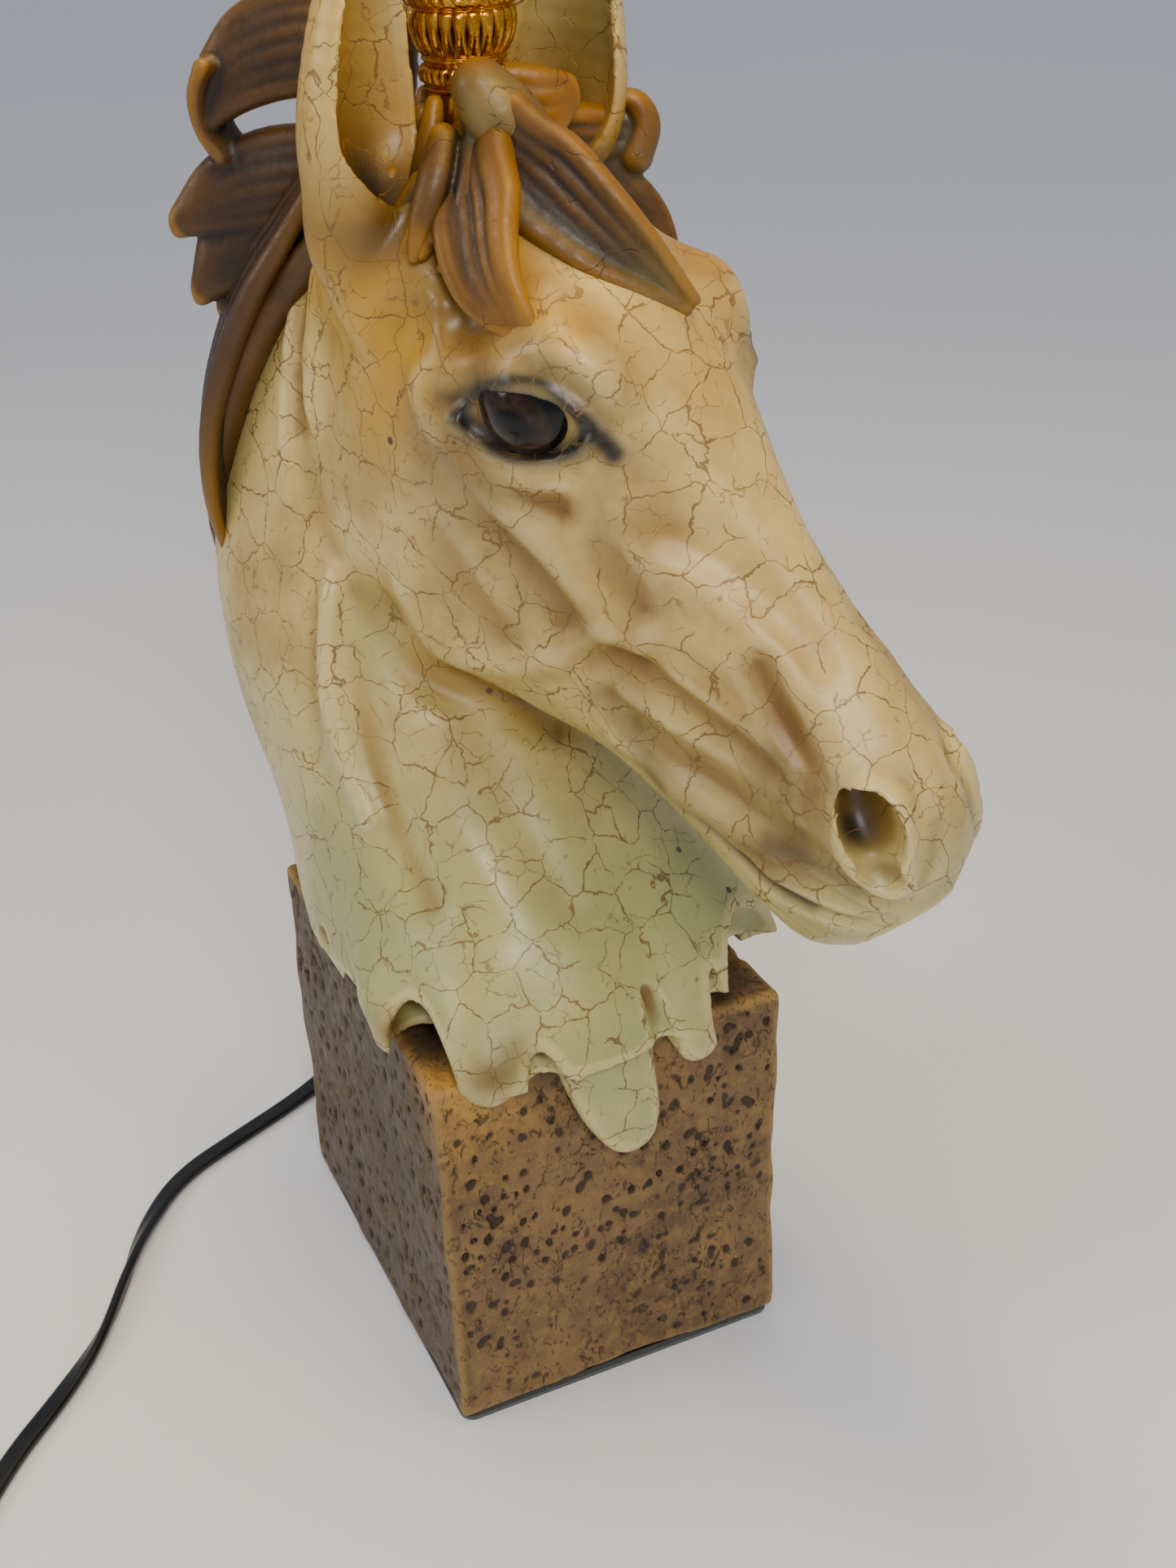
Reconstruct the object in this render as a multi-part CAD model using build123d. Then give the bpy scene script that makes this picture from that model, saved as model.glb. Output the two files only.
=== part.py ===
"""Table lamp with a horse-head bust on a rough block plinth.

Millimetres, +Z up, +X to the lamp's right seen from its narrow front face, which looks along -Y.
The origin is the middle of the plinth's underside, on the surface that the lamp stands on.
A threaded lamp pipe on the Z axis clamps plinth, bust, column and lampholder into one stack.
"""
from build123d import *
from math import cos, radians, sin, tan
import os

os.makedirs("parts", exist_ok=True)

# ---- plinth ----
PLINTH_W = 104.0           # along X
PLINTH_D = 132.0           # along Y
PLINTH_TOP = 120.0
PLINTH_WALL = 9.0
PLINTH_ROOF = 12.0
FELT_T = 1.2
COVER_T = 3.0
COVER_LIP = 5.0            # width of the ledge that the base cover seats on
BOSS_R = 6.0
SCREW_R = 1.5

# ---- lamp pipe, M10 x 1 ----
PIPE_R = 5.0
PIPE_BORE_R = 3.6
PIPE_LOW = 97.0
PIPE_HIGH = 402.0
PIPE_HOLE_R = 5.2
NUT_AF = 14.0
NUT_H = 4.0
WASHER_R = 12.0
WASHER_T = 1.6

# ---- horse head: a frame between the eyes, x to the muzzle, y to the horse's left, z to the brow ----
HEAD_AT = (18.7, -41.8, 293.0)
HEAD_YAW = 27.0
HEAD_DIP = 47.7
HEAD_TILT = 5.6
EYE_X = 4.0
EYE_HALF = 24.5
EYE_R = 11.5
CROWN_Z = 334.0
COLUMN_SEAT_R = 13.0

# Neck sections: height, distance of the centre behind the axis, half length, half breadth, yaw
NECK = [
    (128.0, -3.0, 66.0, 56.0, 15.0),
    (145.0, 12.0, 64.0, 50.0, 19.0),
    (160.0, 21.0, 62.0, 46.0, 24.0),
    (180.0, 33.0, 60.0, 42.0, 26.0),
    (200.0, 41.0, 57.0, 38.0, 27.0),
    (228.0, 47.0, 53.0, 31.0, 27.0),
    (265.0, 38.0, 48.0, 26.0, 27.0),
    (300.0, 22.0, 40.0, 23.0, 27.0),
    (324.0, 8.0, 27.0, 21.0, 27.0),
]
# Skull sections: x, brow line, jaw line, half breadth
SKULL = [
    (-66.0, 8.0, -34.0, 17.0),
    (-52.0, 17.0, -72.0, 27.0),
    (-38.0, 21.0, -97.0, 33.0),
    (-20.0, 23.0, -114.0, 37.0),
    (0.0, 23.5, -120.0, 38.0),
    (20.0, 21.5, -113.0, 35.0),
    (38.0, 18.5, -99.0, 30.0),
    (54.0, 16.5, -84.0, 25.5),
    (70.0, 15.0, -73.0, 22.0),
    (90.0, 15.0, -66.0, 20.0),
    (110.0, 14.5, -61.0, 20.0),
    (125.0, 12.0, -57.0, 20.5),
    (137.0, 5.0, -50.0, 17.0),
    (146.0, -8.0, -41.0, 9.0),
]
EAR_WIDTH = 14.0
EAR_ROOT_R = 15.0
EAR_RIGHT = ((-29.0, -7.0, 326.0), (-24.0, -9.0, 391.0), (0.55, -0.84, 0.0))
EAR_LEFT = ((24.0, 8.0, 330.0), (31.0, 3.0, 389.0), (-0.62, -0.78, 0.0))
# Ragged edge of the bib on top of the plinth, going round from the rear left corner
BIB = [
    (-50, 58), (-55, 30), (-50, 14), (-56, 2), (-55, -34), (-46, -38), (-49, -60), (-38, -71),
    (-24, -66), (-10, -71), (8, -70), (12, -58), (20, -70), (30, -63), (33, -46), (46, -40),
    (45, -22), (54, -24), (52, 10), (46, 18), (50, 44), (36, 60), (10, 58), (-16, 64),
]
# Tongues of the bib that hang over the front face: middle x, tip z, half width
TONGUES = [(-36.0, 112.0, 9.0), (-4.0, 84.5, 9.5), (19.0, 104.0, 7.5)]
BIB_T = 6.0

# ---- column and lampholder, E27 ----
COLUMN_TOP = 392.0
RING_T = 3.0
CAP_R = 19.7
CAP_LOW = COLUMN_TOP + RING_T
CAP_HIGH = CAP_LOW + 21.0
TERMINAL_Y = 10.5            # the two terminals, either side of the axis
SKIRT_R = 19.5
SKIRT_HIGH = CAP_HIGH + 31.0
SHADE_RING_R = 26.0
SHADE_SEAT_Z = CAP_HIGH + 8.0
KNOB_Z = CAP_LOW + 11.0
BULB_TIP_Z = CAP_HIGH + 7.0
BULB_CAP_R = 13.1
BULB_R = 30.0

# ---- flex ----
FLEX_R = 3.2
FLEX_Z = 3.4
BUSH_X = 26.0
BUSH_Z = 14.0
BUSH_TIP_Y = 88.0
FLEX_LENGTH = 1800.0
COIL_AT = (-240.0, -100.0)
COIL_IN = 24.0
COIL_OUT = 47.0
COIL_H = 13.0
COIL_MID = 38.0
# Corners of the flex: from the bush to the coil, and from the bush up to the lampholder
ROUTE = [
    (26, 88, 14), (26, 103, 14), (19, 118, 7), (0, 125, 3.4), (-24, 115, 3.4), (-46, 100, 3.4),
    (-72, 88.5, 3.4), (-97, 77, 3.4), (-114, 56, 3.4), (-124, 37, 3.4), (-136, 16, 3.4),
    (-152, -2, 3.4), (-171, -20, 3.4), (-187, -42, 3.4), (-199, -64, 3.4), (-202, -84, 3.4),
]
INNER = [(26, 88, 14), (26, 52, 14), (22, 26, 24), (8, 6, 48), (0, 0, 76), (0, 0, 404)]

# ---- plug, two round pins ----
PLUG_BACK = -54.0
PLUG_Z = 7.2
PLUG_W = 26.0
PLUG_L = 36.0
PIN_GAP = 19.0
PIN_L = 19.0
PIN_R = 2.0


def save(name, shape):
    """Write one named piece."""
    shape.label = name
    export_step(shape, f"parts/{name}.step")


def tube(r_out, r_in, z_low, z_high):
    """A ring on the Z axis."""
    outer = Pos(0, 0, (z_low + z_high) / 2) * Cylinder(r_out, z_high - z_low)
    return outer - Pos(0, 0, (z_low + z_high) / 2) * Cylinder(r_in, z_high - z_low + 2)


def turned(profile):
    """Revolve a closed list of (radius, height) points about the Z axis."""
    return revolve(Plane.XZ * make_face(Polyline(*profile, close=True)), Axis.Z)


# ---------------------------------------------------------------- head frame
def head_axes():
    """Unit vectors to the muzzle, the horse's left and the brow."""
    yaw, dip, tilt = radians(HEAD_YAW), radians(HEAD_DIP), radians(HEAD_TILT)
    ahead = Vector(sin(yaw) * cos(dip), -cos(yaw) * cos(dip), -sin(dip))
    side = Vector(cos(yaw), sin(yaw), 0)
    over = ahead.cross(side)
    left = side * cos(tilt) + over * sin(tilt)
    return ahead, left, ahead.cross(left)


AHEAD, LEFT, OVER = head_axes()
HEAD = Plane(origin=HEAD_AT, x_dir=AHEAD, z_dir=OVER)


def on_head(x, y, z):
    """A point of the head frame, in the lamp's frame."""
    return Vector(*HEAD_AT) + AHEAD * x + LEFT * y + OVER * z


def blob(at, size):
    """An ellipsoid lined up with the head."""
    return HEAD * Pos(*at) * scale(Sphere(1), by=size)


def oval_loft(stations):
    """Loft ovals: each station is (centre, normal, side direction, half across, half along)."""
    faces = []
    for centre, normal, side, across, along in stations:
        plane = Plane(origin=centre, x_dir=side, z_dir=normal)
        faces.append(plane * Ellipse(across, along))
    return loft(faces)


def lock(path, widths, depths, flat):
    """A tapering lock of hair: ovals square to the path, `flat` being the direction of its width."""
    points = [Vector(*p) for p in path]
    stations = []
    for i, point in enumerate(points):
        ahead = points[min(i + 1, len(points) - 1)] - points[max(i - 1, 0)]
        normal = ahead.normalized()
        side = Vector(*flat) - normal * Vector(*flat).dot(normal)
        stations.append((point, normal, side.normalized(), widths[i], depths[i]))
    return oval_loft(stations)


# ---------------------------------------------------------------- plinth
def plinth_casting():
    height = PLINTH_TOP - FELT_T
    body = Pos(0, 0, FELT_T + height / 2) * Box(PLINTH_W, PLINTH_D, height)
    body = fillet(body.edges().filter_by(Axis.Z), 4.0)
    body = fillet(body.faces().sort_by(Axis.Z)[-1].edges(), 2.0)
    inner_w = PLINTH_W - 2 * PLINTH_WALL
    inner_d = PLINTH_D - 2 * PLINTH_WALL
    inner_h = PLINTH_TOP - PLINTH_ROOF - FELT_T
    body -= Pos(0, 0, FELT_T + inner_h / 2) * Box(inner_w, inner_d, inner_h)
    for x, y in boss_places():
        boss_h = inner_h - COVER_T
        boss = Pos(x, y, FELT_T + COVER_T + boss_h / 2) * Cylinder(BOSS_R, boss_h)
        body += boss & (Pos(0, 0, 60) * Box(inner_w + 2, inner_d + 2, 200))
        body -= Pos(x, y, FELT_T + COVER_T + 6) * Cylinder(SCREW_R, 20)
    cover_w, cover_d = cover_size(0.2)
    body -= Pos(0, 0, FELT_T + COVER_T / 2) * Box(cover_w, cover_d, COVER_T)
    body -= Pos(0, 0, PLINTH_TOP) * Cylinder(PIPE_HOLE_R, 3 * PLINTH_ROOF)
    body -= Pos(BUSH_X, PLINTH_D / 2, BUSH_Z) * Rot(90, 0, 0) * Cylinder(4.6, 3 * PLINTH_WALL)
    return body


def boss_places():
    """Centres of the four bosses in the plinth's inner corners."""
    x = PLINTH_W / 2 - PLINTH_WALL - BOSS_R + 1
    y = PLINTH_D / 2 - PLINTH_WALL - BOSS_R + 1
    return [(sx * x, sy * y) for sx in (-1, 1) for sy in (-1, 1)]


def cover_size(gap):
    """Outside of the base cover, with `gap` all round."""
    w = PLINTH_W - 2 * PLINTH_WALL + 2 * COVER_LIP + 2 * gap
    d = PLINTH_D - 2 * PLINTH_WALL + 2 * COVER_LIP + 2 * gap
    return w, d


def base_cover():
    w, d = cover_size(0)
    plate = Pos(0, 0, FELT_T + COVER_T / 2) * Box(w, d, COVER_T)
    for x, y in boss_places():
        plate -= Pos(x, y, FELT_T) * Cylinder(SCREW_R + 0.3, 4 * COVER_T)
        plate -= Pos(x, y, FELT_T + 0.9) * Cone(3.4, SCREW_R + 0.3, 1.8)
    return plate


def base_screws():
    screws = []
    for x, y in boss_places():
        head = Pos(x, y, FELT_T + 0.9) * Cone(3.2, SCREW_R, 1.8)
        shank = Pos(x, y, FELT_T + 8.4) * Cylinder(SCREW_R, 13.2)
        screws.append(head + shank)
    return Compound(children=screws)


def base_felt():
    sheet = Pos(0, 0, FELT_T / 2) * Box(PLINTH_W - 4, PLINTH_D - 4, FELT_T)
    return fillet(sheet.edges().filter_by(Axis.Z), 4.0)


# ---------------------------------------------------------------- bust


def neck_oval(station, z):
    """One neck section, set at the height z."""
    back, half_l, half_b, yaw = station[1:]
    turn = radians(yaw)
    centre = (-sin(turn) * back, cos(turn) * back, z)
    plane = Plane(origin=centre, x_dir=(sin(turn), -cos(turn), 0), z_dir=(0, 0, 1))
    return plane * Ellipse(half_l, half_b)


def neck_loft():
    return loft([neck_oval(station, station[0]) for station in NECK])


def skull_loft():
    stations = []
    for x, brow, jaw, half in SKULL:
        centre = on_head(x, 0, (brow + jaw) / 2)
        stations.append((centre, AHEAD, LEFT, half, (brow - jaw) / 2))
    return oval_loft(stations)


def bib():
    outline = make_face(Polyline(*BIB, close=True))
    plate = extrude(Pos(0, 0, PLINTH_TOP) * outline, 9.0)
    front = -PLINTH_D / 2 - 0.2
    for x, tip, half in TONGUES:
        drop = PLINTH_TOP + 10.0 - tip
        blade = RectangleRounded(2 * half, drop, half - 0.5)
        face = Plane(origin=(x, front, tip + drop / 2), x_dir=(1, 0, 0), z_dir=(0, -1, 0)) * blade
        plate += extrude(face, BIB_T)
    return plate


def ear(base, tip, width, facing):
    """A pricked ear: a leaf-shaped cone, hollowed on the side that it faces."""
    low, high = Vector(*base), Vector(*tip)
    rise = high - low
    outer = [(0.0, 0.62), (0.22, 0.95), (0.45, 1.0), (0.7, 0.72), (0.9, 0.32), (1.0, 0.08)]
    toward = Vector(*facing)
    normal = rise.normalized()
    side = toward.cross(normal).normalized()
    front = normal.cross(side).normalized() * -1
    stations = []
    scoop = []
    for part, share in outer:
        at = low + rise * part
        half = width * share
        stations.append((at, normal, side, half, half * 0.72))
    for part, share in outer[1:5]:
        at = low + rise * part + front * (width * share * 0.55)
        half = width * share * 0.66
        scoop.append((at, normal, side, half, half * 0.62))
    return oval_loft(stations) - oval_loft(scoop)


def horse_bust():
    """One solid casting: neck, head, ears and bib, bored for the lamp pipe."""
    body = neck_loft() + skull_loft()
    body += blob((-6, -20, 0), (24, 14, 20)) + blob((-6, 20, 0), (24, 14, 20))
    body += blob((122, -11, -6), (20, 12, 17)) + blob((122, 11, -6), (20, 12, 17))
    body += blob((126, 0, -40), (17, 15, 12))
    body += bib()
    body += extrude(neck_oval(NECK[0], PLINTH_TOP), 9.0)
    for base, tip, facing in (EAR_RIGHT, EAR_LEFT):
        root = Vector(base[0] * 0.8, base[1], base[2] - 6.0)
        body += Pos(*root) * Sphere(EAR_ROOT_R)
        body += ear(base, tip, EAR_WIDTH, facing)
    seat = CROWN_Z - 8.0
    body += Pos(0, 0, seat) * Cylinder(COLUMN_SEAT_R, 16.0)
    body -= Pos(0, 0, CROWN_Z + 60) * Cylinder(COLUMN_SEAT_R + 0.4, 120)
    for sign in (-1, 1):
        body -= eye(sign)
        nostril = HEAD * Pos(125, sign * 22, 1) * Rot(0, 0, sign * 24)
        body -= nostril * scale(Sphere(1), by=(9, 7, 5))
    body -= Pos(0, 0, 240) * Cylinder(PIPE_HOLE_R, 300)
    return body


def eye(sign):
    """A glossy domed eye in its socket."""
    return HEAD * Pos(EYE_X, sign * EYE_HALF, 0) * Sphere(EYE_R)


# ---------------------------------------------------------------- mane
def forelock_inner():
    """The short lock that curls down to the right brow."""
    path = [on_head(*p) for p in ((-56, -6, 19), (-43, -18, 24), (-28, -27, 20), (-10, -32, 12))]
    return lock(path, (6.5, 7.5, 6.0, 1.5), (5.0, 5.5, 4.5, 1.5), tuple(LEFT))


def forelock_long():
    """The blade-shaped lock across the middle of the brow."""
    path = [on_head(*p) for p in ((-54, -2, 24), (-40, -6, 31), (-22, 1, 31), (-2, 9, 26))]
    return lock(path, (7.5, 9.0, 7.0, 1.2), (5.0, 5.0, 3.5, 1.0), tuple(LEFT))


def forelock_roll():
    """The rolled stump in front of the column's foot."""
    path = [(0.5, -14, 333), (0, -23, 344), (-5, -27, 353), (-8, -27, 358)]
    return lock(path, (8.0, 7.5, 6.0, 3.0), (7.0, 6.5, 5.0, 2.5), (1, 0, 0))


def mane_flying():
    """The looped lock behind the right ear, and the two that sweep out below it."""
    side = (0.1, 0.1, 1.0)
    loop = [(-8, 28, 352), (-20, 37, 357), (-32, 44, 356), (-42, 49, 351), (-46, 51, 343)]
    piece = lock(loop, (11, 12.5, 12, 9, 6), (6, 7, 7, 6, 4.5), side)
    hook = [(-44, 50, 349), (-46, 52, 342), (-42, 51, 334)]
    piece += lock(hook, (6, 5, 4), (5, 5, 4), (0.9, 0.4, 0.1))
    sweep = [(-12, 34, 332), (-25, 42, 332), (-40, 48, 330), (-58, 57, 322)]
    piece += lock(sweep, (12, 12, 10, 2), (9, 10, 8, 2), side)
    under = [(-14, 38, 318), (-28, 44, 319), (-42, 50, 314), (-53, 54, 303)]
    piece += lock(under, (13, 13, 10, 3), (9, 10, 8, 3), side)
    return piece


def mane_crest():
    """The long flat lock that runs down the near side of the crest."""
    path = [(-27, 32, 333), (-38, 41, 314), (-48, 50, 292), (-54, 57, 266), (-57, 62, 244), (-55, 66, 226)]
    return lock(path, (6, 9, 10, 8, 5, 1.5), (4, 4.5, 4.5, 4, 3, 1.2), (0.45, 0.75, 0.5))


def mane_rear():
    """The body of hair down the back of the neck."""
    path = [(-6, 14, 344), (-12, 24, 328), (-24, 46, 306), (-32, 63, 282), (-39, 77, 254), (-43, 85, 226),
            (-42, 83, 198), (-38, 79, 178)]
    return lock(path, (8, 15, 19, 21, 20, 17, 11, 3), (6, 8, 8, 8, 7, 6, 5, 2), (0.89, 0.45, 0))


def mane_curl():
    """The hair beside the left ear: a shelf with an upturned hook, and the lobes below it."""
    main = [(12, -4, 341), (25, 0, 336), (36, -1, 334), (42, -2, 342)]
    piece = lock(main, (6, 8, 7, 3), (6, 6, 5, 3), (-0.1, 0, 1))
    lobe = [(20, 4, 328), (32, 0, 325), (42, -3, 318), (48, -6, 308)]
    piece += lock(lobe, (9, 9, 7, 2.5), (7, 7, 6, 2.5), (-0.1, 0, 1))
    behind = [(24, 12, 330), (36, 12, 328), (46, 14, 322), (52, 17, 312)]
    piece += lock(behind, (9, 9, 7, 2), (6, 6, 5, 2), (-0.1, 0, 1))
    return piece


# ---------------------------------------------------------------- pipe and column
def lamp_pipe():
    return tube(PIPE_R, PIPE_BORE_R, PIPE_LOW, PIPE_HIGH)


def pipe_washer():
    top = PLINTH_TOP - PLINTH_ROOF
    return tube(WASHER_R, PIPE_R + 0.2, top - WASHER_T, top)


def pipe_nut():
    top = PLINTH_TOP - PLINTH_ROOF - WASHER_T
    plate = extrude(Pos(0, 0, top - NUT_H) * RegularPolygon(NUT_AF / 2, 6, major_radius=False), NUT_H)
    return plate - Pos(0, 0, top) * Cylinder(PIPE_R, 4 * NUT_H)


def column():
    """Gilt column: flared foot, waist, bead ring, gadroon band, top band and cap moulding."""
    bore = PIPE_R + 0.1
    z = CROWN_Z
    profile = [
        (bore, z), (COLUMN_SEAT_R, z), (COLUMN_SEAT_R - 2, z + 4), (9.6, z + 10), (8.8, z + 16),
        (9.0, z + 19), (10.6, z + 20.5), (10.9, z + 22.5), (10.2, z + 24.5), (10.6, z + 26),
        (12.0, z + 29), (12.5, z + 33), (12.4, z + 36), (13.4, z + 37.5), (13.7, z + 41),
        (13.2, z + 44.5), (10.0, z + 47.5), (8.4, z + 51), (9.5, z + 55), (12.0, COLUMN_TOP),
        (bore, COLUMN_TOP),
    ]
    return turned(profile)


def check_ring():
    ring = tube(9.0, PIPE_R, COLUMN_TOP, CAP_LOW)
    return chamfer(ring.edges().group_by(Axis.Z)[-1].sort_by(SortBy.RADIUS)[-1], 0.8)


# ---------------------------------------------------------------- lampholder
def holder_cap():
    z = CAP_LOW
    wall = 2.2
    profile = [
        (PIPE_R, z), (9.0, z), (14.0, z + 1.5), (18.0, z + 4.5), (CAP_R, z + 9), (CAP_R, CAP_HIGH),
        (CAP_R - wall, CAP_HIGH), (CAP_R - wall, z + 9.5), (16.2, z + 6), (13.0, z + 3.8),
        (9.0, z + 3.2), (9.0, z + 6), (PIPE_R, z + 6),
    ]
    cap = turned(profile)
    return cap - Pos(CAP_R, 0, KNOB_Z) * Rot(0, 90, 0) * Cylinder(2.4, 8)


def holder_skirt():
    """Threaded skirt; the thread is left as its outside diameter."""
    z = CAP_HIGH
    profile = [
        (SKIRT_R - 2.2, z), (SKIRT_R, z), (SKIRT_R, SKIRT_HIGH), (16.0, SKIRT_HIGH),
        (16.0, SKIRT_HIGH - 2.0), (SKIRT_R - 2.2, SKIRT_HIGH - 2.0),
    ]
    return turned(profile)


def shade_ring():
    z = SHADE_SEAT_Z
    inner = SKIRT_R
    profile = [
        (inner, z - 6), (inner + 2.2, z - 6), (inner + 2.2, z - 2), (SHADE_RING_R, z - 2),
        (SHADE_RING_R, z), (inner, z),
    ]
    return turned(profile)


def holder_insert():
    """Insulating insert: a floor for the contacts and a wall round the screw shell."""
    z = CAP_HIGH
    floor = tube(SKIRT_R - 2.3, 1.8, z + 0.1, z + 5.0)
    wall = tube(17.0, 14.3, z + 5.0, SKIRT_HIGH - 2.1)
    insert = floor + wall
    for y in (-TERMINAL_Y, TERMINAL_Y):
        insert -= Pos(0, y, z + 2) * Cylinder(1.5, 6)
    return insert


def screw_shell():
    return tube(14.2, 13.4, CAP_HIGH + 5.1, SKIRT_HIGH - 6.0)


def centre_contact():
    """Bronze tongue, bent up to meet the bulb's tip, on a rivet."""
    z = CAP_HIGH + 5.0
    rivet = Pos(0, 0, z - 2.4) * Cylinder(1.8, 4.8)
    outline = Polyline((-6, z), (7, z), (7, z + 0.5), (-2.5, z + 0.5), (3.2, z + 1.2), (3.2, z + 1.7),
                       (-6, z + 0.5), close=True)
    tongue = extrude(Plane.XZ * make_face(outline), 2.0, both=True)
    return tongue + rivet


def terminal_screws():
    screws = []
    for y in (-TERMINAL_Y, TERMINAL_Y):
        shank = Pos(0, y, CAP_HIGH + 1.2) * Cylinder(1.5, 4.4)
        head = Pos(0, y, CAP_HIGH - 2.0) * Cylinder(2.8, 2.0)
        head -= Pos(0, y, CAP_HIGH - 3.0) * Box(6, 0.8, 1.6)
        screws.append(shank + head)
    return Compound(children=screws)


def switch_body():
    box = Pos(11.2, 0, KNOB_Z) * Box(8.6, 11.0, 6.6)
    return fillet(box.edges().filter_by(Axis.X), 1.5)


def switch_shaft():
    return Pos(23.2, 0, KNOB_Z) * Rot(0, 90, 0) * Cylinder(2.0, 14.0)


def switch_knob():
    """Turned knob with finger flutes, pushed on the shaft."""
    knob = Pos(29.0, 0, KNOB_Z) * Rot(0, 90, 0) * Cylinder(6.0, 12.0)
    knob = chamfer(knob.edges().filter_by(GeomType.CIRCLE), 0.8)
    for i in range(12):
        angle = radians(30 * i)
        at = (29.0, 6.4 * cos(angle), KNOB_Z + 6.4 * sin(angle))
        knob -= Pos(*at) * Rot(0, 90, 0) * Cylinder(1.0, 14.0)
    return knob - Pos(25.0, 0, KNOB_Z) * Rot(0, 90, 0) * Cylinder(2.0, 10.4)


# ---------------------------------------------------------------- bulb
def bulb_cap():
    """E27 shell: rolled thread as rings, tapering to the insulator."""
    z = BULB_TIP_Z + 3.4
    outline = [(6.5, z), (9.5, z + 1.6), (12.2, z + 3.4)]
    for i in range(4):
        low = z + 4.2 + 3.6 * i
        outline += [(BULB_CAP_R - 0.9, low), (BULB_CAP_R, low + 1.8)]
    top = z + 21.0
    outline += [(12.6, top), (12.0, top), (11.8, z + 4.4), (6.5, z + 1.0)]
    return turned(outline)


def bulb_insulator():
    z = BULB_TIP_Z
    return turned([(2.2, z + 0.6), (4.2, z + 0.9), (6.5, z + 3.4), (6.5, z + 4.4), (2.2, z + 4.4)])


def bulb_tip():
    z = BULB_TIP_Z
    return turned([(0, z), (1.4, z), (2.2, z + 0.6), (2.2, z + 4.4), (0, z + 4.4)])


def bulb_profile(shrink, base):
    """Pear-shaped outline from the cap's mouth to the crown, drawn in by `shrink`."""
    top = base + 82.0
    neck = 11.7 - shrink
    outline = Line((0, base), (neck, base))
    outline += Line((neck, base), (neck, base + 9))
    middle = base + 50.0
    outline += Spline((neck, base + 9), (14.6 - shrink, base + 18), (22.8 - shrink, base + 31),
                      (BULB_R - shrink, middle), tangents=((0, 1), (0, 1)))
    crown = top - shrink
    outline += Spline((BULB_R - shrink, middle), (21.6 - shrink * 0.7, middle + 22.5 - shrink * 0.7),
                      (0, crown), tangents=((0, 1), (-1, 0)))
    outline += Line((0, crown), (0, base))
    return outline


def bulb_glass():
    base = BULB_TIP_Z + 16.0
    solid = revolve(Plane.XZ * make_face(bulb_profile(0, base)), Axis.Z)
    hollow = revolve(Plane.XZ * make_face(bulb_profile(0.9, base - 0.5)), Axis.Z)
    return solid - hollow


def bulb_mount():
    """Glass foot with its two lead wires and the filament bar across them."""
    base = BULB_TIP_Z + 16.0
    foot = turned([(0, base), (10.6, base), (10.6, base + 1.5), (4.5, base + 6), (3.2, base + 26),
                   (0, base + 28)])
    for x in (-1, 1):
        wire = Pos(x * 8.5, 0, base + 34) * Rot(0, x * 20, 0) * Cylinder(0.45, 28)
        link = Pos(x * 2.6, 0, base + 21) * Rot(0, x * 25, 0) * Cylinder(0.45, 10)
        foot += wire + link
    bar = Pos(0, 0, base + 46.6) * Rot(0, 90, 0) * Cylinder(0.8, 27)
    return foot + bar


# ---------------------------------------------------------------- flex
def cord_bush():
    """Tapered strain relief with a flange inside the rear wall."""
    y = PLINTH_D / 2
    profile = [
        (FLEX_R, y - PLINTH_WALL - 2), (5.6, y - PLINTH_WALL - 2), (5.6, y - PLINTH_WALL),
        (4.5, y - PLINTH_WALL), (4.5, y), (6.6, y), (6.6, y + 2.5), (5.6, y + 4), (4.3, BUSH_TIP_Y),
        (FLEX_R, BUSH_TIP_Y),
    ]
    body = revolve(Plane.XY * make_face(Polyline(*profile, close=True)), Axis.Y)
    return Pos(BUSH_X, 0, BUSH_Z) * body


def swept_flex(points, r):
    """A round tube along straight runs joined by tangent arcs, each as large as its runs allow."""
    corners = [Vector(*p) for p in points]
    radii = []
    for a, b, c in zip(corners, corners[1:], corners[2:]):
        turn = (b - a).get_angle(c - b)
        run = min((b - a).length, (c - b).length)
        radii.append(0.45 * run / tan(radians(turn) / 2))
    path = FilletPolyline(*corners, radius=radii)
    start = (corners[1] - corners[0]).normalized()
    section = Plane(origin=corners[0], z_dir=start) * Circle(r)
    solid = sweep(section, path=path, transition=Transition.ROUND)
    return solid, path.length


def power_cord():
    return swept_flex(ROUTE, FLEX_R)


def cord_coil():
    """Outer shape of the put-away turns."""
    ring = tube(COIL_OUT, COIL_IN, 0.1, COIL_H)
    ring = fillet(ring.edges().filter_by(GeomType.CIRCLE), 3.0)
    return Pos(*COIL_AT, 0) * ring


def cord_tail():
    x = COIL_AT[0] - COIL_MID
    return swept_flex([(x, -78, FLEX_Z), (x + 0.6, -66, 4.6), (x, PLUG_BACK, PLUG_Z)], FLEX_R)


def plug_body():
    """Flat two-pin plug, waisted towards the flex."""
    x, y, z = COIL_AT[0] - COIL_MID, PLUG_BACK, PLUG_Z
    half = PLUG_W / 2
    outline = Polyline((x - 5, y), (x + 5, y), (x + 7, y + 10), (x + half, y + 16), (x + half, y + PLUG_L),
                       (x - half, y + PLUG_L), (x - half, y + 16), (x - 7, y + 10), close=True)
    body = extrude(Pos(0, 0, z - 7.0) * make_face(outline), 14.0)
    return chamfer(body.faces().sort_by(Axis.Y)[-1].edges(), 1.5)


def plug_pins():
    x, y, z = COIL_AT[0] - COIL_MID, PLUG_BACK + PLUG_L, PLUG_Z
    pins = []
    for side in (-1, 1):
        pin = Pos(x + side * PIN_GAP / 2, y + PIN_L / 2, z) * Rot(90, 0, 0) * Cylinder(PIN_R, PIN_L)
        pins.append(fillet(pin.edges().sort_by(Axis.Y)[-1], 1.2))
    return Compound(children=pins)


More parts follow.
